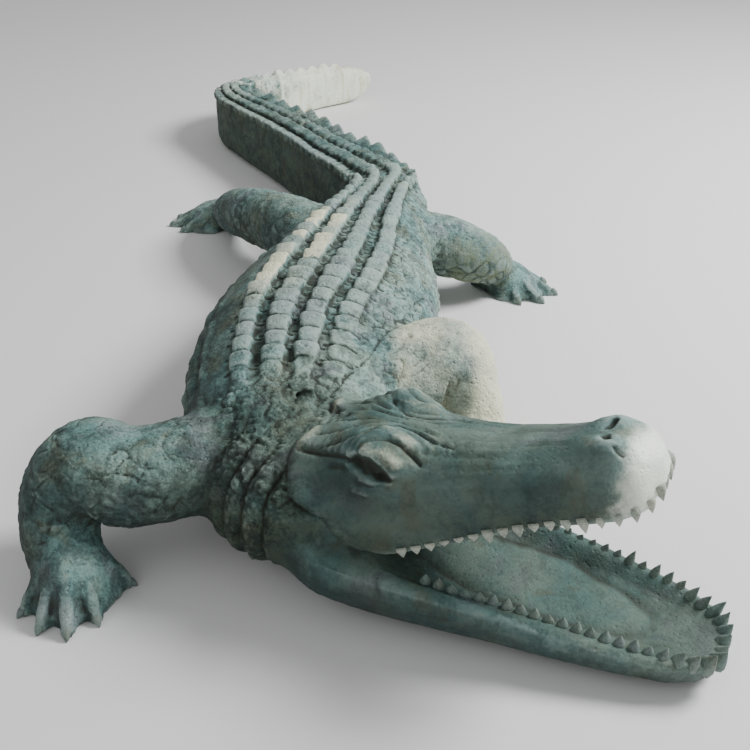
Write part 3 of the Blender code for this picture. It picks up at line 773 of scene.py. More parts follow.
def grimeAndPitShadeGroup():
    # dirt that stays in hollows, with moss where it is damp; the recess it is given also holds painted shade in the eye
    # sockets and nostrils
    tree, given, out = newTree(
        "Shader", "hollow grime and pit shade",
        (("Color", "Color"), ("Recess", "Float", 0.0), ("Moss", "Float", 0.0), ("Mottle", "Float", 0.5),
         ("Grime", "Color", (0.030, 0.035, 0.026, 1)), ("Moss colour", "Color", (0.13, 0.15, 0.055, 1)),
         ("Strength", "Float", 1.0)),
        (("Color", "Color"), ("Dirt", "Float")))
    amount = brokenMask(tree, given, "Recess", 0.5, 0.05, 0.8)
    green = times(tree, given["Moss"], band(tree, given["Mottle"], 0.42, 0.56), True)
    dirty = mixColour(tree, amount, given["Color"], given["Grime"])
    tree.links.new(mixColour(tree, green, dirty, given["Moss colour"]), out["Color"])
    tree.links.new(amount, out["Dirt"])
    return tree


def grainGroup():
    # the cast skin's pits and grain, as a height
    tree, given, out = newTree(
        "Shader", "cast grain", (("Vector", "Vector"), ("Grain size", "Float", 260.0), ("Pits", "Float", 0.5)),
        (("Height", "Float"),))
    size = given["Grain size"]
    grain = noiseOf(tree, given["Vector"], size, 5.0, 0.65)
    lumpy = noiseOf(tree, given["Vector"], times(tree, size, 0.30), 6.0, 0.72, 0.6)
    cells = addNode(tree, "ShaderNodeTexVoronoi", {"Vector": given["Vector"], "Scale": times(tree, size, 0.45)})
    pits = times(tree, band(tree, cells.outputs["Distance"], 0.34, 0.0), given["Pits"])
    height = maths(tree, "ADD", times(tree, grain, 0.5), lumpy)
    tree.links.new(maths(tree, "SUBTRACT", height, pits), out["Height"])
    return tree


patinaColours, paleWearAndSunlight, grimeAndPitShade, castGrain = patinaGroup(), paleWearAndSunlightGroup(), grimeAndPitShadeGroup(), grainGroup()
markNames = ("recess", "edge", "worn", "moss", "washed", "stain", "bleached")


def placeGroup(tree, group, values):
    return addNode(tree, "ShaderNodeGroup", values, node_tree=group).outputs


def attribute(tree, name):
    return addNode(tree, "ShaderNodeAttribute", attribute_name=name).outputs["Fac"]


def verdigris(name, look):
    material = bpy.data.materials.new(name)
    material.use_nodes = True
    tree = material.node_tree
    shader = tree.nodes["Principled BSDF"]
    vector = addNode(tree, "ShaderNodeTexCoord").outputs["Object"]
    # one flat value for each mark, or the marks that the carved skin carries
    marks = look.get("flat") or {mark: attribute(tree, mark) for mark in markNames}
    rough = 0.6 if "flat" in look else attribute(tree, "rough")
    patina = placeGroup(tree, patinaColours, {"Vector": vector, "Contrast": rough, **look["patina"]})
    # painted light and shade: the colour darkened on faces turned from the sun and lightened on those turned to it
    washed = mixColour(tree, marks["washed"], (0.32, 0.36, 0.34, 1), (1.40, 1.43, 1.40, 1))
    shaded = mixColour(tree, 1.0, patina["Color"], washed, "MULTIPLY")
    # painted shade and stains darken it further where that mark lies
    shadedAndStained = mixColour(tree, 1.0, shaded, (0.40, 0.43, 0.40, 1), "MULTIPLY")
    coat, dirt = {"Color": mixColour(tree, marks["stain"], shaded, shadedAndStained)}, 0.0
    for group, values in (
            (paleWearAndSunlight, {"Mask": marks["edge"], "Strength": look["edgeStrength"], "Pale": look["edgePale"]}),
            # grime in the hollows, with painted shade in the eye sockets and nostrils
            (grimeAndPitShade, {"Recess": marks["recess"], "Moss": marks["moss"], "Strength": look["grimeStrength"]}),
            # pale wear, and painted sunlight on the left arm, the tail's end and faces turned to the sun
            (paleWearAndSunlight, {"Mask": marks["worn"], "Strength": 1.0, "Pale": look["cream"]}),
            # painted sunlight on the snout's and the tail's ends
            (paleWearAndSunlight, {"Mask": marks["bleached"], "Strength": 0.95, "Pale": look["white"]})):
        coat = placeGroup(tree, group, {"Color": coat["Color"], "Mottle": patina["Mottle"], **values})
        if group is grimeAndPitShade:
            dirt = coat["Dirt"]
    tree.links.new(coat["Color"], shader.inputs["Base Color"])
    # less rough where the last pale layer, the painted sunlight, lies
    dull = maths(tree, "SUBTRACT", 0.74, times(tree, coat["Worn"], 0.25))
    tree.links.new(maths(tree, "ADD", dull, times(tree, dirt, 0.12), True), shader.inputs["Roughness"])
    shader.inputs["Metallic"].default_value = look["metallic"]
    height = placeGroup(tree, castGrain, {"Vector": vector, **look["grain"]})
    strength = look["bump"] if "flat" in look else times(tree, rough, look["bump"])
    bump = addNode(tree, "ShaderNodeBump", {"Height": height["Height"], "Strength": strength, "Distance": 0.0050})
    tree.links.new(bump.outputs["Normal"], shader.inputs["Normal"])
    return material


hideLook = {
    "edgeStrength": 0.60, "grimeStrength": 0.90, "bump": 0.85, "metallic": 0.12,
    "edgePale": (0.40, 0.50, 0.46, 1), "cream": (0.80, 0.81, 0.60, 1), "white": (0.92, 0.98, 0.86, 1),
    "patina": {"Cloud size": 6.0, "Brown share": 0.45}, "grain": {"Grain size": 240.0, "Pits": 0.5},
}
toothLook = {
    "flat": {"recess": 0.10, "edge": 0.50, "worn": 0.42, "moss": 0.0, "washed": 0.50, "stain": 0.0, "bleached": 0.0},
    "edgeStrength": 0.8, "grimeStrength": 0.7, "bump": 0.4, "metallic": 0.12,
    "edgePale": (0.50, 0.55, 0.48, 1), "cream": (0.62, 0.62, 0.50, 1), "white": (0.9, 0.9, 0.8, 1),
    "patina": {"Cloud size": 9.0, "Brown share": 0.35}, "grain": {"Grain size": 320.0, "Pits": 0.3},
}
lowerToothLook = {**toothLook, "edgeStrength": 0.45,
                  "flat": {**toothLook["flat"], "edge": 0.45, "worn": 0.05, "washed": 0.55, "stain": 0.35}}
clawLook = {**toothLook, "edgeStrength": 0.7, "metallic": 0.15, "edgePale": (0.38, 0.44, 0.40, 1),
            "flat": {**toothLook["flat"], "edge": 0.45, "worn": 0.10, "washed": 0.45, "stain": 0.2},
            "patina": {"Cloud size": 9.0, "Brown share": 0.5}}
hideVerdigris = verdigris("hide verdigris", hideLook)
toothVerdigris = verdigris("tooth verdigris", toothLook)
clawVerdigris = verdigris("claw verdigris", clawLook)
lowerToothVerdigris = verdigris("lower tooth verdigris", lowerToothLook)
print("materials made")


# the casting: its forms joined into one skin

regions = {
    "body": [newPiece("trunk", *bodyForm())] + scuteForms(hideVerdigris),
    "skull": [newPiece("skull", *skullForm()), newPiece("leftEye", *eyeForm(1)), newPiece("rightEye", *eyeForm(-1))],
    "chin": [newPiece("chin", *chinForm())],
    "limbs": [newPiece(limb, *tubeForm(rows)) for limb, rows in limbRows.items()],
    "feet": [],
}
for name, (place, toes) in footToes.items():
    tall = 1.0 if name.endswith("Hand") else foot["footDrop"]
    regions["feet"].append(newPiece(name + "Web", *webForm(place, toes, tall)))
    regions["feet"] += [newPiece(name + "Toe", *toeForm(place, *toe, tall)) for toe in toes]
nearRegion = {}
for region, pieces in regions.items():
    regions[region] = joined(region, pieces)
    mesh = regions[region].data
    nearRegion[region] = BVHTree.FromPolygons([v.co for v in mesh.vertices], [f.vertices for f in mesh.polygons])
casting = joined("casting", list(regions.values()))
remesh = casting.modifiers.new("one skin", "REMESH")
remesh.mode = "VOXEL"
remesh.voxel_size = hide["voxel"]
bakedMesh(casting)
print("one skin", len(casting.data.polygons), "faces")


def neighbourMean(values):
    # each point's neighbours' mean, for one column or several
    first, second = ends.T
    sums = [np.bincount(first, column[second], len(values)) + np.bincount(second, column[first], len(values))
            for column in values.T]
    return np.stack(sums, axis=1) / counts[:, None]


def smoothedBy(values, weight, rounds):
    for each in range(rounds):
        values = values + (neighbourMean(values) - values) * weight
    return values


points = coordinates(casting.data)
ends = columnsOf(casting.data.edges, "vertices", 2, np.int32)
counts = np.maximum(np.bincount(ends.ravel(), minlength=len(points)), 1)
# how near each form is, looked up once in a cell of this size
cellSize, reach = 0.006, 0.05
cells, cellOf = np.unique(np.floor(points / cellSize).astype(np.int32), axis=0, return_inverse=True)
cellOf = cellOf.ravel()
centres = np.stack([np.bincount(cellOf, column) for column in points.T], axis=1) / np.bincount(cellOf)[:, None]
away = []
for surface in nearRegion.values():
    found = (surface.find_nearest(Vector(p), reach) for p in centres)
    away.append(np.array([reach if f[3] is None else f[3] for f in found])[cellOf])
away = smoothedBy(np.stack(away, axis=1), 1.0, 4)
closeness = np.exp(-(away / 0.007) ** 2) + 1e-6
body, skull, chin, limbs, feet = (closeness / closeness.sum(1)[:, None]).T
blend = below(np.sort(away, axis=1)[:, 1], hide["blendReach"] * 0.4, hide["blendReach"])
print("regions found")

# limbs flow into the body, and the rest keeps its form but for one light round
points = smoothedBy(points, 0.6, 1)
near = blend > 0.01
near[ends[near[ends].any(1)].ravel()] = True
allEnds, allCounts = ends, counts
ends = (np.cumsum(near) - 1)[ends[near[ends].all(1)]]
counts = np.maximum(np.bincount(ends.ravel(), minlength=near.sum()), 1)
points[near] = smoothedBy(points[near], blend[near][:, None] * 0.9, hide["blendRounds"])
ends, counts = allEnds, allCounts
setCoordinates(casting.data, points)
normals = columnsOf(casting.data.vertex_normals, "vector", 3).astype(float)


# places on the body: share along the spine, across it, and round the section
def bodyPlaces():
    flat = (points + planMiddle)[:, :2] / square
    nearest = np.empty(len(flat), np.int32)
    for first in range(0, len(flat), 20000):
        part = flat[first:first + 20000]
        gaps = ((part[:, None, :] - spinePath[None, ::2, :2]) ** 2).sum(2)
        nearest[first:first + 20000] = gaps.argmin(1) * 2
    off, ways, rows = flat - spinePath[nearest, :2], spineWays[nearest], spinePath[nearest]
    lateral = off[:, 0] * ways[:, 1] - off[:, 1] * ways[:, 0]
    low = np.maximum(rows[:, 3], 0)
    turn = np.arctan2((points[:, 2] / square - (low + rows[:, 4]) / 2) / ((rows[:, 4] - low) / 2),
                      lateral / rows[:, 2])
    return (spineAt[nearest] + (off * ways).sum(1)) / wholeSpine, lateral / rows[:, 2], turn


along, u, sectionTurn = bodyPlaces()
metresAlong = along * wholeSpine * square
upAlong, upOut, upUp = intoFrame(upperFrame, points).T
lowerAlong, lowerOut = intoFrame(lowerFrame, points).T[:2]
facingUp = normals[:, 2]
inMouth = chin * ramp(facingUp, 0.5, 0.9) * (np.abs(lowerOut) < 1.0) * ramp(lowerAlong, 0.6, 1.2)
degreesUp = np.degrees(np.arctan2(upUp - 0.35, np.abs(upOut)))
pastEdge = upAlong - np.interp(degreesUp, *np.array(skullEdge).T)
facePlaces = np.stack([upAlong, degreesUp * squaresInDegree], axis=1)


def strokeDepth(places, strokes):
    # carving by strokes, each on a polyline of places
    total = np.zeros(len(places))
    for line, width, height in strokes:
        line = np.array(line) * (1, squaresInDegree)
        gap = np.full(len(places), 9.0)
        for a, b in zip(line[:-1], line[1:]):
            t = np.clip(((places - a) @ (b - a)) / ((b - a) @ (b - a)), 0, 1)[:, None]
            gap = np.minimum(gap, np.linalg.norm(places - a - (b - a) * t, axis=1))
        total += height * np.exp(-(gap / width) ** 2)
    return total


def cellsWhere(weight, points, size, salt):
    # cracked cells, worked out only where this weight shows
    gap, own = np.ones(len(points)), np.full(len(points), 0.5)
    shown = weight > 0.01
    gap[shown], own[shown] = crackedCells(points[shown], size, salt)
    return gap, own


def cloudWhere(weight, points, size, salt=0, layers=1):
    value = np.zeros(len(points))
    shown = weight > 0.01
    value[shown] = cloud(points[shown], size, salt, layers)
    return value


def lumps(weight, points, size, salt):
    gap, own = cellsWhere(weight, points, size, salt)
    return ramp(gap, 0.0, 0.45) * (0.45 + 0.55 * own)


def plateCracks(onBack, warp):
    # cracks between the plates, carried over into the groove beside them: their share and depth
    onWide = ramp(along, 0.36, 0.46)
    spots = np.linspace(0, 1, 60)
    for rowName, side, gaps in plateGaps:
        if not rowName:
            continue
        centre = side * np.interp(along, spots, rowShare(rowName, spots))
        near = (np.abs(u - centre) < 0.155 + 0.10 * onWide) & (along > gaps[0] - 0.01) & (along < gaps[-1] + 0.01)
        i = np.clip(np.searchsorted(gaps, along), 1, len(gaps) - 1)
        i -= np.abs(along - gaps[i - 1]) < np.abs(along - gaps[i])
        gap = np.abs(along - gaps[i]) * wholeSpine * square + 0.0012 * warp
        depth = 0.0030 * (1 + 0.4 * warp) * np.where(i % 2, 1 - 0.85 * onWide, 1 + 1.5 * onWide)
        yield onBack * near * np.exp(-(gap / (0.0020 + 0.0045 * onWide)) ** 2), depth


def castingRelief():
    # how far each point stands out or in, in metres, and how much of it is a crack
    relief, warp = np.zeros(len(points)), cloud(points, 0.06, 1, 2)
    drifting = warp[:, None]
    # the skull, in front of its hinder edge, and the drop behind it
    drop = 0.06 * ramp(degreesUp, -45, -25) * (1 - 0.5 * ramp(degreesUp, 10, 30))
    drop += 0.14 * between(degreesUp, -36, -12, 6, 26)
    drop *= np.exp(-np.clip(-pastEdge, 0, 9) / 0.20) * (pastEdge < 0)
    relief -= (body + chin + skull) * drop * below(lowerAlong, 0.9, 1.3) * square
    onSkull = skull * ramp(pastEdge, -0.03, 0.04)
    relief += onSkull * strokeDepth(facePlaces, skullStrokes.values()) * square
    fromEye = np.linalg.norm(facePlaces - (1.15, 40 * squaresInDegree), axis=1)
    overBrow = onSkull * ramp(degreesUp, 40, 56) * between(fromEye, 0.25, 0.4, 0.6, 1.3)
    relief += overBrow * 0.0009 * np.cos((fromEye + 0.10 * warp) / 0.125 * math.tau)
    flow = cloudWhere(onSkull, facePlaces @ ((0.30, 0, 0), (0, 2.2, 0)), 0.35, 81, 2)
    relief += onSkull * 0.0016 * flow * between(upAlong, 1.4, 1.9, 2.9, 3.9)
    # neck folds, rolls with tight creases
    fromNeck = lowerAlong + 0.35 * np.abs(lowerOut) + 0.10 * warp
    onNeck = (body + chin) * between(fromNeck, -1.45, -1.25, -0.35, -0.15) * (pastEdge < 0)
    onNeck *= (1 - 0.75 * ramp(facingUp, 0.75, 0.95)) * below(along, 0.062, 0.080)
    roll = np.abs(np.sin(fromNeck / (hide["neckFoldPitch"] / square) * math.pi)) ** 0.55
    relief += hide["neckFoldRise"] * onNeck * (roll - 0.75)
    bumpy = onNeck * (0.30 + ramp(fromNeck, -0.90, -0.6))
    bumpy += 0.40 * chin * between(fromNeck, -0.4, -0.2, 0.5, 1.1) * (pastEdge < 0)
    # the rough nape, before the rows of scutes
    onNape = body * below(along, hide["rowsStart"] - 0.004, hide["rowsStart"] + 0.016)
    onNape *= ramp(facingUp, 0.0, 0.5) * (pastEdge < 0)
    onNape = np.maximum(onNape, skull * ramp(pastEdge, 0.03, -0.10) * ramp(degreesUp, 55, 66))
    gap, own = cellsWhere(onNape, points + 0.012 * drifting, 0.024, 3)
    relief += onNape * (0.0052 * ramp(gap, 0.0, 0.4) * (0.2 + 0.8 * own) - 0.003)
    # flank rows and folds
    onFlank = body * ramp(np.abs(u), 0.52, 0.66) * (1 - 0.7 * (u > 0)) * below(facingUp, 0.65, 0.85)
    onFlank *= between(along, 0.065, 0.10, 0.40, 0.46)
    ridges = np.cos((sectionTurn * 0.17 + 0.006 * warp) / 0.042 * math.tau)
    ridges *= 0.6 + 0.8 * cloudWhere(onFlank, points, 0.05, 68, 2)
    pleats = np.cos((metresAlong + 0.014 * warp) / 0.052 * math.tau)
    relief += onFlank * (0.0050 * ridges * (1 - 0.5 * ramp(along, 0.2, 0.34)) + 0.0016 * pleats)
    # the rough back beside the right-hand rows, and the grooves between the rows
    rugged = body * ramp(u, 0.54, 0.62) * between(along, 0.07, 0.10, 0.40, 0.44)
    inGroove = body * ramp(facingUp, 0.5, 0.8) * between(along, 0.07, 0.09, 0.36, 0.42)
    inGroove *= sum(np.exp(-((u - place) / width) ** 2) for place, width in ((-0.29, 0.07), (0, 0.05), (0.29, 0.06)))
    onBack = body * ramp(facingUp, 0.35, 0.6) * between(along, 0.07, 0.09, 0.80, 0.84)
    cracks = np.zeros(len(points))
    for crack, depth in plateCracks(onBack, warp):
        relief -= crack * depth
        cracks = np.maximum(cracks, crack * np.clip(depth / 0.003, 0, 1))
    # irregular scales on the arms, and a net of smaller ones on the hind legs
    hind = ramp(points[:, 1], -0.45, -0.35)
    worked = ramp(cloud(points, 0.07, 71), -0.35, 0.25)
    onArms, onLegs = limbs * (1 - hind), limbs * hind
    swirl = np.stack([cloudWhere(onArms, points, 0.045, n, 2) for n in (72, 73, 74)], axis=1)
    gap, own = cellsWhere(onArms, points + 0.014 * swirl, 0.031, 5)
    short = ramp(cloudWhere(onArms, points, 0.034, 76), -0.05, 0.30)
    arms = 0.0026 * cloudWhere(onArms, points, 0.028, 75, 2) - 0.0019 * below(gap, 0.0, 0.11) * short
    arms += 0.0022 * (lumps(onArms, points + 0.006 * swirl, 0.0175, 7) - 0.5) * (0.35 + 0.65 * worked)
    gap, own = cellsWhere(onLegs, points + 0.005 * drifting, 0.026, 15)
    legs = 0.0016 * ((ramp(gap, 0.0, 0.35) - 0.6) * (0.3 + 0.7 * worked) + own - 0.5)
    relief += onArms * arms + onLegs * legs
    # broken surface on the plates, and rings down the tail's sides
    onPlates = body * ramp(facingUp, 0.2, 0.6)
    gap, own = cellsWhere(onPlates, points, 0.017, 9)
    relief -= onPlates * 0.0009 * below(gap, 0.0, 0.16) * worked
    rings = below(np.abs(np.cos(metresAlong / 0.034 * math.pi)), 0.0, 0.25) * (0.2 + 0.8 * ramp(along, 0.72, 0.80))
    relief -= body * ramp(along, 0.44, 0.50) * below(facingUp, 0.3, 0.7) * 0.0016 * rings
    # outlines of the plates along the tail's top
    beside = body * ramp(facingUp, 0.55, 0.85) * between(along, 0.43, 0.47, 0.80, 0.84)
    beside *= below(np.minimum(np.abs(u), np.abs(np.abs(u) - 0.58)), 0.02, 0.08)
    relief -= 0.0030 * beside
    # the tongue, a low oval on the mouth's rough floor
    fromTongue = np.hypot((lowerAlong - 2.55) / 1.65, lowerOut / 0.56) + 0.06 * warp
    relief += inMouth * (0.0045 * below(fromTongue, 0.72, 1.04)
                         - 0.0020 * np.exp(-((fromTongue - 1.05) / 0.09) ** 2))
    # lumps: where, how tall, how far sunk, stretch, drift, size and seed
    for weight, tall, sunk, stretch, sway, size, salt in (
            (bumpy, 0.0020, 0.0006, (1, 1, 0.45), 0, 0.012, 6), (onNape, 0.0030, 0.001, (1, 1, 1), 0.006, 0.0095, 4),
            (onFlank, 0.0016, 0, (1, 0.7, 1), 0, 0.022, 10), (rugged, 0.0026, 0.0012, (1, 1, 1), 0.008, 0.017, 8)):
        relief += weight * (tall * lumps(weight, points * stretch + sway * drifting, size, salt) - sunk)
    # clouded unevenness: where, how tall, size, seed and layers
    for weight, tall, *noise in (
            (bumpy, 0.0022, 0.022, 63, 2), (onNape, 0.0030, 0.014, 62, 2), (rugged, 0.0024, 0.022, 66, 3),
            (inGroove, 0.0016, 0.012, 65, 2), (inMouth, 0.0024, 0.040, 67, 3)):
        relief += weight * tall * cloudWhere(weight, points, *noise)
    # a worked surface all over, calmer on the jaws
    calm = 1 - 0.55 * (skull + chin)
    relief += calm * (0.0011 * cloud(points, 0.016, 31, 3) + 0.0018 * cloud(points, 0.055, 41, 2))
    return relief, np.maximum(cracks, 0.7 * beside)


relief, cracks = castingRelief()
points = points + normals * relief[:, None]
points[:, 2] = np.where(points[:, 2] < 0.0015, 0.0, points[:, 2])
points = np.clip(points, lowCorner + 0.0002, highCorner - 0.0002)
points[:, 2] = np.maximum(points[:, 2], 0)
setCoordinates(casting.data, points)
print("relief carved")

# hollows and edges, from how far the skin stands off its own smoothed self
normals = columnsOf(casting.data.vertex_normals, "vector", 3).astype(float)
smoothed = smoothedBy(points, 0.9, 4)
fine = ((points - smoothed) * normals).sum(1)
broad = ((points - smoothedBy(smoothed, 0.9, 36)) * normals).sum(1)


def castingMarks():
    # where the skin is hollow, raised, worn, mossy and stained, with its painted light, shade and sunlight, each from 0
    # to 1
    recess = np.clip(-fine / 0.0011, 0, 1) * 0.75 + np.clip(-broad / 0.005, 0, 1) * 0.6
    edge = np.clip(fine / 0.0011, 0, 1) * 0.5 + np.clip(broad / 0.005, 0, 1) * 0.4
    edge *= 1 - 0.8 * np.exp(-(pastEdge / 0.07) ** 2)
    onTop = ramp(facingUp, 0.3, 0.7)
    isUp = ramp(facingUp, 0.4, 0.9)
    drift, fineDrift = cloud(points, 0.16, 51, 2), cloud(points, 0.05, 53, 3)
    # the sun's side, for the painted light and shade and the painted sunlight
    sunny = normals @ np.array((0.60, -0.05, 0.80))
    # painted sunlight on the snout's and the tail's ends
    bleached = skull * ramp(upAlong + 0.22 * fineDrift - 0.2 * upUp, 3.77, 4.36) * ramp(upUp, -0.3, 0.2)
    onTip = body * ramp(along + 0.02 * drift, 0.70, 0.80) * below(-normals[:, 0], 0.3, 0.8)
    scratches = cloudWhere(onTip, np.stack([metresAlong * 7, points[:, 2], 0 * u], axis=1), 0.06, 54, 3)
    bleached += onTip * (0.28 + 0.25 * ramp(along, 0.82, 0.90) + 0.35 * fineDrift + 0.60 * scratches)
    # worn pads and plates, plate by plate; on the rows of the -X side the paler tops are partly a painted highlight
    pads = strokeDepth(facePlaces, [skullStrokes[n] for n in ("knob", "browPad", "crownPad")])
    worn = skull * np.clip(pads / 0.08, 0, 1) * 0.5
    row = np.round(u / 0.29 - 0.5)
    plates = np.stack([np.floor(metresAlong / hide["scutePitch"] + 0.5 * row), row, row * 0], axis=1)
    plateChance = chance(plates, 19)
    onRows = body * between(-u, -0.05, 0.15, 0.52, 0.58) * between(along, 0.085, 0.12, 0.27, 0.32) * isUp
    worn += onRows * (0.15 + 0.75 * plateChance * ramp(along, 0.12, 0.18) + 0.35 * drift) * (broad > -0.001)
    worn += 0.22 * body * (plateChance - 0.5) * between(along, 0.07, 0.1, 0.6, 0.7)
    # the plates' crowns paler: rubbed, and partly a painted highlight on their lit tops
    onCrowns = body * below(np.abs(u), 0.55, 0.62) * between(along, 0.08, 0.12, 0.80, 0.84)
    onCrowns *= ramp(facingUp, 0.4, 0.8) * (broad > -0.0005)
    edge += 0.50 * onCrowns * (0.45 + 0.9 * plateChance + 0.9 * fineDrift)
    # painted sunlight on the left arm and the left hind leg; the corner of the mouth and the toes pale
    onLeftArm = limbs * ramp(points[:, 0], 0.02, 0.09) * (points[:, 1] < -0.6)
    worn += onLeftArm * (0.42 + 0.45 * ramp(points[:, 0], 0.15, 0.21) + 0.5 * fineDrift)
    edge += 0.5 * onLeftArm + 0.25 * limbs * (points[:, 0] > 0.08) * (points[:, 1] > -0.4)
    cornerGap = np.linalg.norm(points - toRow((0.97, -11.05, 0.78)), axis=1)
    edge += chin * below(cornerGap, 0.010, 0.055) * (0.7 + 0.9 * fineDrift)
    # painted sunlight on the tail's end and, in patches, on faces turned to the sun
    worn += body * ramp(along, 0.83, 0.90) * (0.75 + 0.5 * fineDrift) + 0.25 * drift * ramp(sunny, 0.3, 0.9)
    worn += 0.20 * feet * ramp(facingUp, 0.5, 0.95) * ramp(points[:, 2], 0.006, 0.012) * (points[:, 1] < -0.6)
    # painted shade and old dirt: darker on the nape and neck, the lower jaw, the shaded flank on the -X side, the crown
    # and skull, the right arm and inside the mouth, with clouded stains all over; less dark on the sunlit left arm
    stain = body * (0.27 + 0.66 * onTop) * below(along, 0.060, 0.085) * below(pastEdge, -0.1, 0.3)
    stain += chin * (0.50 - 0.25 * ramp(lowerAlong, 1.4, 2.6))
    stain += body * ramp(-u, 0.58, 0.72) * (0.60 - 0.25 * ramp(along, 0.42, 0.48))
    streak = cloudWhere(skull, np.stack([upAlong * 0.22, upUp, upOut], axis=1), 0.22, 83, 2)
    stain += skull * (0.50 + 0.40 * streak + 0.34 * ramp(facingUp, 0.5, 0.9)) * below(upAlong, 3.3, 4.0)
    stain += limbs * (points[:, 0] < -0.1) * np.where(points[:, 1] > -0.45, 0.08, 0.52 - 0.1 * onTop)
    stain += 0.95 * inMouth - 0.3 * onLeftArm + 0.40 * cloud(points, 0.10, 91, 3) + 0.35 * cloud(points, 0.028, 92, 2)
    # painted shade in the cracks between plates, and darker in broad hollows on upward faces
    stain += 0.15 * body * np.clip(-broad / 0.004, 0, 1) * (facingUp > 0.3) + 0.65 * cracks
    # painted shade in the eye sockets and nostrils, and darker inside the mouth
    sockets = -strokeDepth(facePlaces, [skullStrokes[n] for n in ("eyeHollow", "nostril")])
    recess += 0.75 * skull * np.clip(sockets / 0.075, 0, 1) + 0.22 * inMouth
    # the tail's top is darker between its pale left edge and the right one
    onTailTop = body * between(along, 0.40, 0.47, 0.70, 0.76) * onTop
    middle, leftEdge = below(np.abs(u), 0.52, 0.62), ramp(-u, 0.6, 0.7)
    stain += onTailTop * (0.38 * middle - 0.3 * leftEdge)
    edge = (edge * (1 - 0.6 * onTailTop * middle) + 0.5 * onTailTop * leftEdge) * (1 - 0.6 * np.clip(stain, 0, 1))
    kneeGap = np.linalg.norm(points - toRow((2.55, -2.35, 0.75)), axis=1)
    moss = 0.7 * below(kneeGap, 0.05, 0.11) * limbs + (0.20 * body + 0.12 * skull) * below(facingUp, 0.0, 0.5)
    # the painted light and shade: paler on faces turned to the sun, darker on those turned away
    return {"recess": recess * (1 - 0.35 * np.clip(stain, 0, 1)), "edge": edge, "worn": worn, "moss": moss,
            "washed": ramp(sunny, -0.35, 0.95), "stain": stain, "bleached": bleached,
            "rough": 1 - 0.60 * (skull + chin) * (1 - 0.25 * inMouth)}


# the final mesh is thinned, and takes each mark from the nearest point of the full one
nearPoint = KDTree(len(points))
for i, p in enumerate(points):
    nearPoint.insert(p, i)
nearPoint.balance()
triangles = 2 * len(casting.data.polygons)
thin = casting.modifiers.new("thin", "DECIMATE")
thin.ratio = min(1.0, hide["mostTriangles"] / triangles)
thin.use_collapse_triangulate = True
bakedMesh(casting)
found = [nearPoint.find(v.co)[1] for v in casting.data.vertices]
for name, values in castingMarks().items():
    putAttribute(casting.data, name, np.clip(values, 0, 1)[found])
casting.data.shade_smooth()
casting.data.materials.clear()
casting.data.materials.append(hideVerdigris)
print("casting", len(casting.data.polygons), "triangles")


# teeth and claws

def coneShape(name, sides, bend, blunt):
    # a unit cone, base at the origin, that curves a little back
    rings = []
    for share in (-0.35, 0.0, 0.3, 0.6, 0.85, 1.0):
        radius = 0.5 * (1 - max(share, 0) ** blunt) + 0.02
        rings.append([(radius * math.cos(a) + bend * max(share, 0) ** 2, radius * math.sin(a), share)
                      for a in around(sides)])
    return newPiece(name, *loft(rings))


teeth = {
    "upperPitch": 0.0200, "lowerPitch": 0.0178, "upperLength": 0.0140, "lowerLength": 0.0165,
    "upperWidth": 0.0145, "lowerWidth": 0.0150, "unevenness": 0.24, "sink": 0.03,
    "upperReach": (1.18, 4.40), "lowerReach": (1.45, 5.16),
    "upperInset": ((1.1, 0.985), (3.0, 0.985), (3.8, 0.92), (4.4, 0.90)),
    "lowerInset": ((1.4, 0.72), (2.0, 0.75), (3.2, 0.725), (4.4, 0.74), (4.8, 0.83), (5.2, 0.88)), "farInset": 1.22,
}
claws = {"length": 0.014, "width": 0.0115, "droop": 0.45}


def gumLine(name, rows, reach, inset, stand, frameOf, width, length):
    smooth = smoothRows(rows, np.linspace(*reach, 90) - rows[0][0], 1)
    left = smooth[:, :3] - (0, 0, teeth["sink"] * stand)
    left[:, 1] *= np.interp(left[:, 0], *np.array(inset).T)
    right = left.copy()
    if stand > 0:
        left[:, 1] *= 1 + (teeth["farInset"] - 1) * (1 - ramp(left[:, 0], 4.4, 4.8))
    line = np.vstack([left, (right * (1, -1, 1))[::-1]])
    places = inFrame(frameOf, line)
    turned = np.array(frameOf)[:3, :3] / square
    along, out = line[:, 0], line[:, 1]
    leans = np.stack([0.05 + 0.25 * ramp(along, 4.0, 5.0), 0.06 * np.sign(out), stand + 0 * out], axis=1)
    size = 0.80 + 0.40 * ramp(along, 2.8, 4.4) + 0.12 * np.cos(along * 5.0)
    size *= np.where(stand < 0, 0.70 + 0.30 * ramp(along, 1.6, 2.6), 1.0)
    far = (stand > 0) & (out > 0) & (along < 4.9)
    return pathPiece(name, places, unit(leans) @ turned.T, unit(np.gradient(places, axis=0)),
                     width * size * np.where(far, 0.8, 1.12 if stand > 0 else 1.0),
                     length * size * np.where(far, 1.02, 1.0))


toothRows = rowTree("tooth rows")
tooth = coneShape("tooth shape", 9, 0.12, 1.25)
dressing = [casting]
for jaw, rows, stand, frameOf, seed, material in (
        ("upper", skullRows, -1, upperFrame, 5, toothVerdigris),
        ("lower", chinRows, 1, lowerFrame, 9, lowerToothVerdigris)):
    reach, inset, width, length, pitch = (teeth[jaw + n] for n in ("Reach", "Inset", "Width", "Length", "Pitch"))
    row = gumLine(jaw + "Teeth", rows, reach, inset, stand, frameOf, width, length)
    dressing.append(grown(row, toothRows, {"Shape": tooth, "Pitch": pitch, "Overlap": width / pitch, "Seed": seed,
                                           "Unevenness": teeth["unevenness"], "Material": material}))


def clawTree():
    tree, given, out = newTree(
        "Geometry", "claws",
        (("Geometry", "Geometry"), ("Shape", "Object"), ("Length", "Float", 0.02), ("Width", "Float", 0.013),
         ("Material", "Material")), (("Geometry", "Geometry"),))
    spots = addNode(tree, "GeometryNodeMeshToPoints", {"Mesh": given["Geometry"]})
    return shapesOn(tree, given, out, spots.outputs["Points"], (given["Width"], given["Width"], given["Length"]))


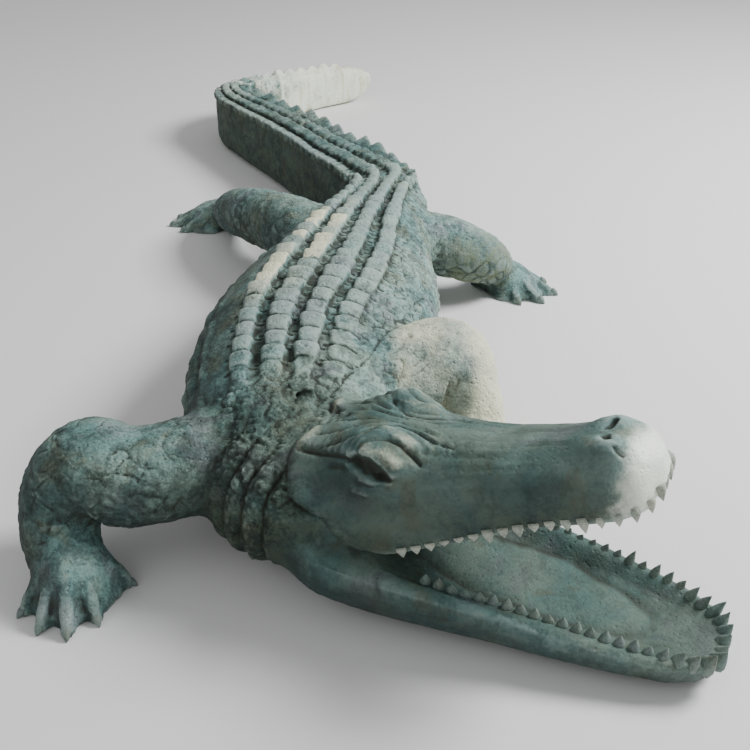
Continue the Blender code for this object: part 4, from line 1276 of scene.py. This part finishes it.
clawSpots, clawStands = [], []
for place, toes in footToes.values():
    for heading, reach in toes:
        way = headingVector(heading)
        clawSpots.append(toRow(np.array((*place, 0)) + way * (reach - 0.03) + (0, 0, 0.085)))
        clawStands.append(unit(way - (0, 0, claws["droop"])))
clawCone = coneShape("claw shape", 10, 0.30, 2.2)
clawRow = pathPiece("claws", clawSpots, clawStands, [(0, 0, -1)] * len(clawSpots), 1, 1)
dressing.append(grown(clawRow, clawTree(), {"Shape": clawCone, "Length": claws["length"], "Width": claws["width"],
                                            "Material": clawVerdigris}))
for helper in (tooth, clawCone):
    bpy.data.objects.remove(helper)
for piece in dressing[1:]:
    piece.data.shade_smooth()
    setCoordinates(piece.data, np.clip(coordinates(piece.data), lowCorner, highCorner))
print("teeth and claws placed")

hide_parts("crocodile")
for piece in dressing:
    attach(piece, "root")


# floor, light and camera
studio = {
    "floorColour": (0.86, 0.86, 0.86, 1), "worldLight": 0.42,
    "cameraPlace": (0.0329, -2.1093, 1.0), "cameraPitch": 58, "lens": 48,
    "keyPlace": (2.7, -0.1, 2.7), "keySize": 1.3, "keyPower": 205,
    "fillPlace": (-2.5, -2.5, 2.4), "fillSize": 2.5, "fillPower": 16, "lightAim": Vector((0, -0.3, 0.1)),
    "floorReach": 30, "floorDrop": 0.0005, "floorRoughness": 0.9,
}


def areaLight(name):
    light = bpy.data.lights.new(name, "AREA")
    light.size, light.energy = studio[name + "Size"], studio[name + "Power"]
    place = Vector(studio[name + "Place"])
    inScene(name + "Light", light, place, (studio["lightAim"] - place).to_track_quat("-Z", "Y").to_euler())


reach = studio["floorReach"]
floor = newPiece("floor", [(-reach, -reach, 0), (reach, -reach, 0), (reach, reach, 0), (-reach, reach, 0)],
                 [(0, 1, 2, 3)])
paint, world = bpy.data.materials.new("floor paint"), bpy.data.worlds.new("studio")
for owner, node, values in (
        (paint, "Principled BSDF", {"Base Color": studio["floorColour"], "Roughness": studio["floorRoughness"]}),
        (world, "Background", {"Color": (1, 1, 1, 1), "Strength": studio["worldLight"]})):
    owner.use_nodes = True
    for label, value in values.items():
        owner.node_tree.nodes[node].inputs[label].default_value = value
floor.data.materials.append(paint)
floor.location.z = -studio["floorDrop"]
areaLight("key")
areaLight("fill")
bpy.context.scene.world = world
camera = bpy.data.cameras.new("camera")
camera.lens, camera.sensor_width = studio["lens"], 36
bpy.context.scene.camera = inScene("camera", camera, studio["cameraPlace"], (math.radians(studio["cameraPitch"]), 0, 0))
print("studio set")
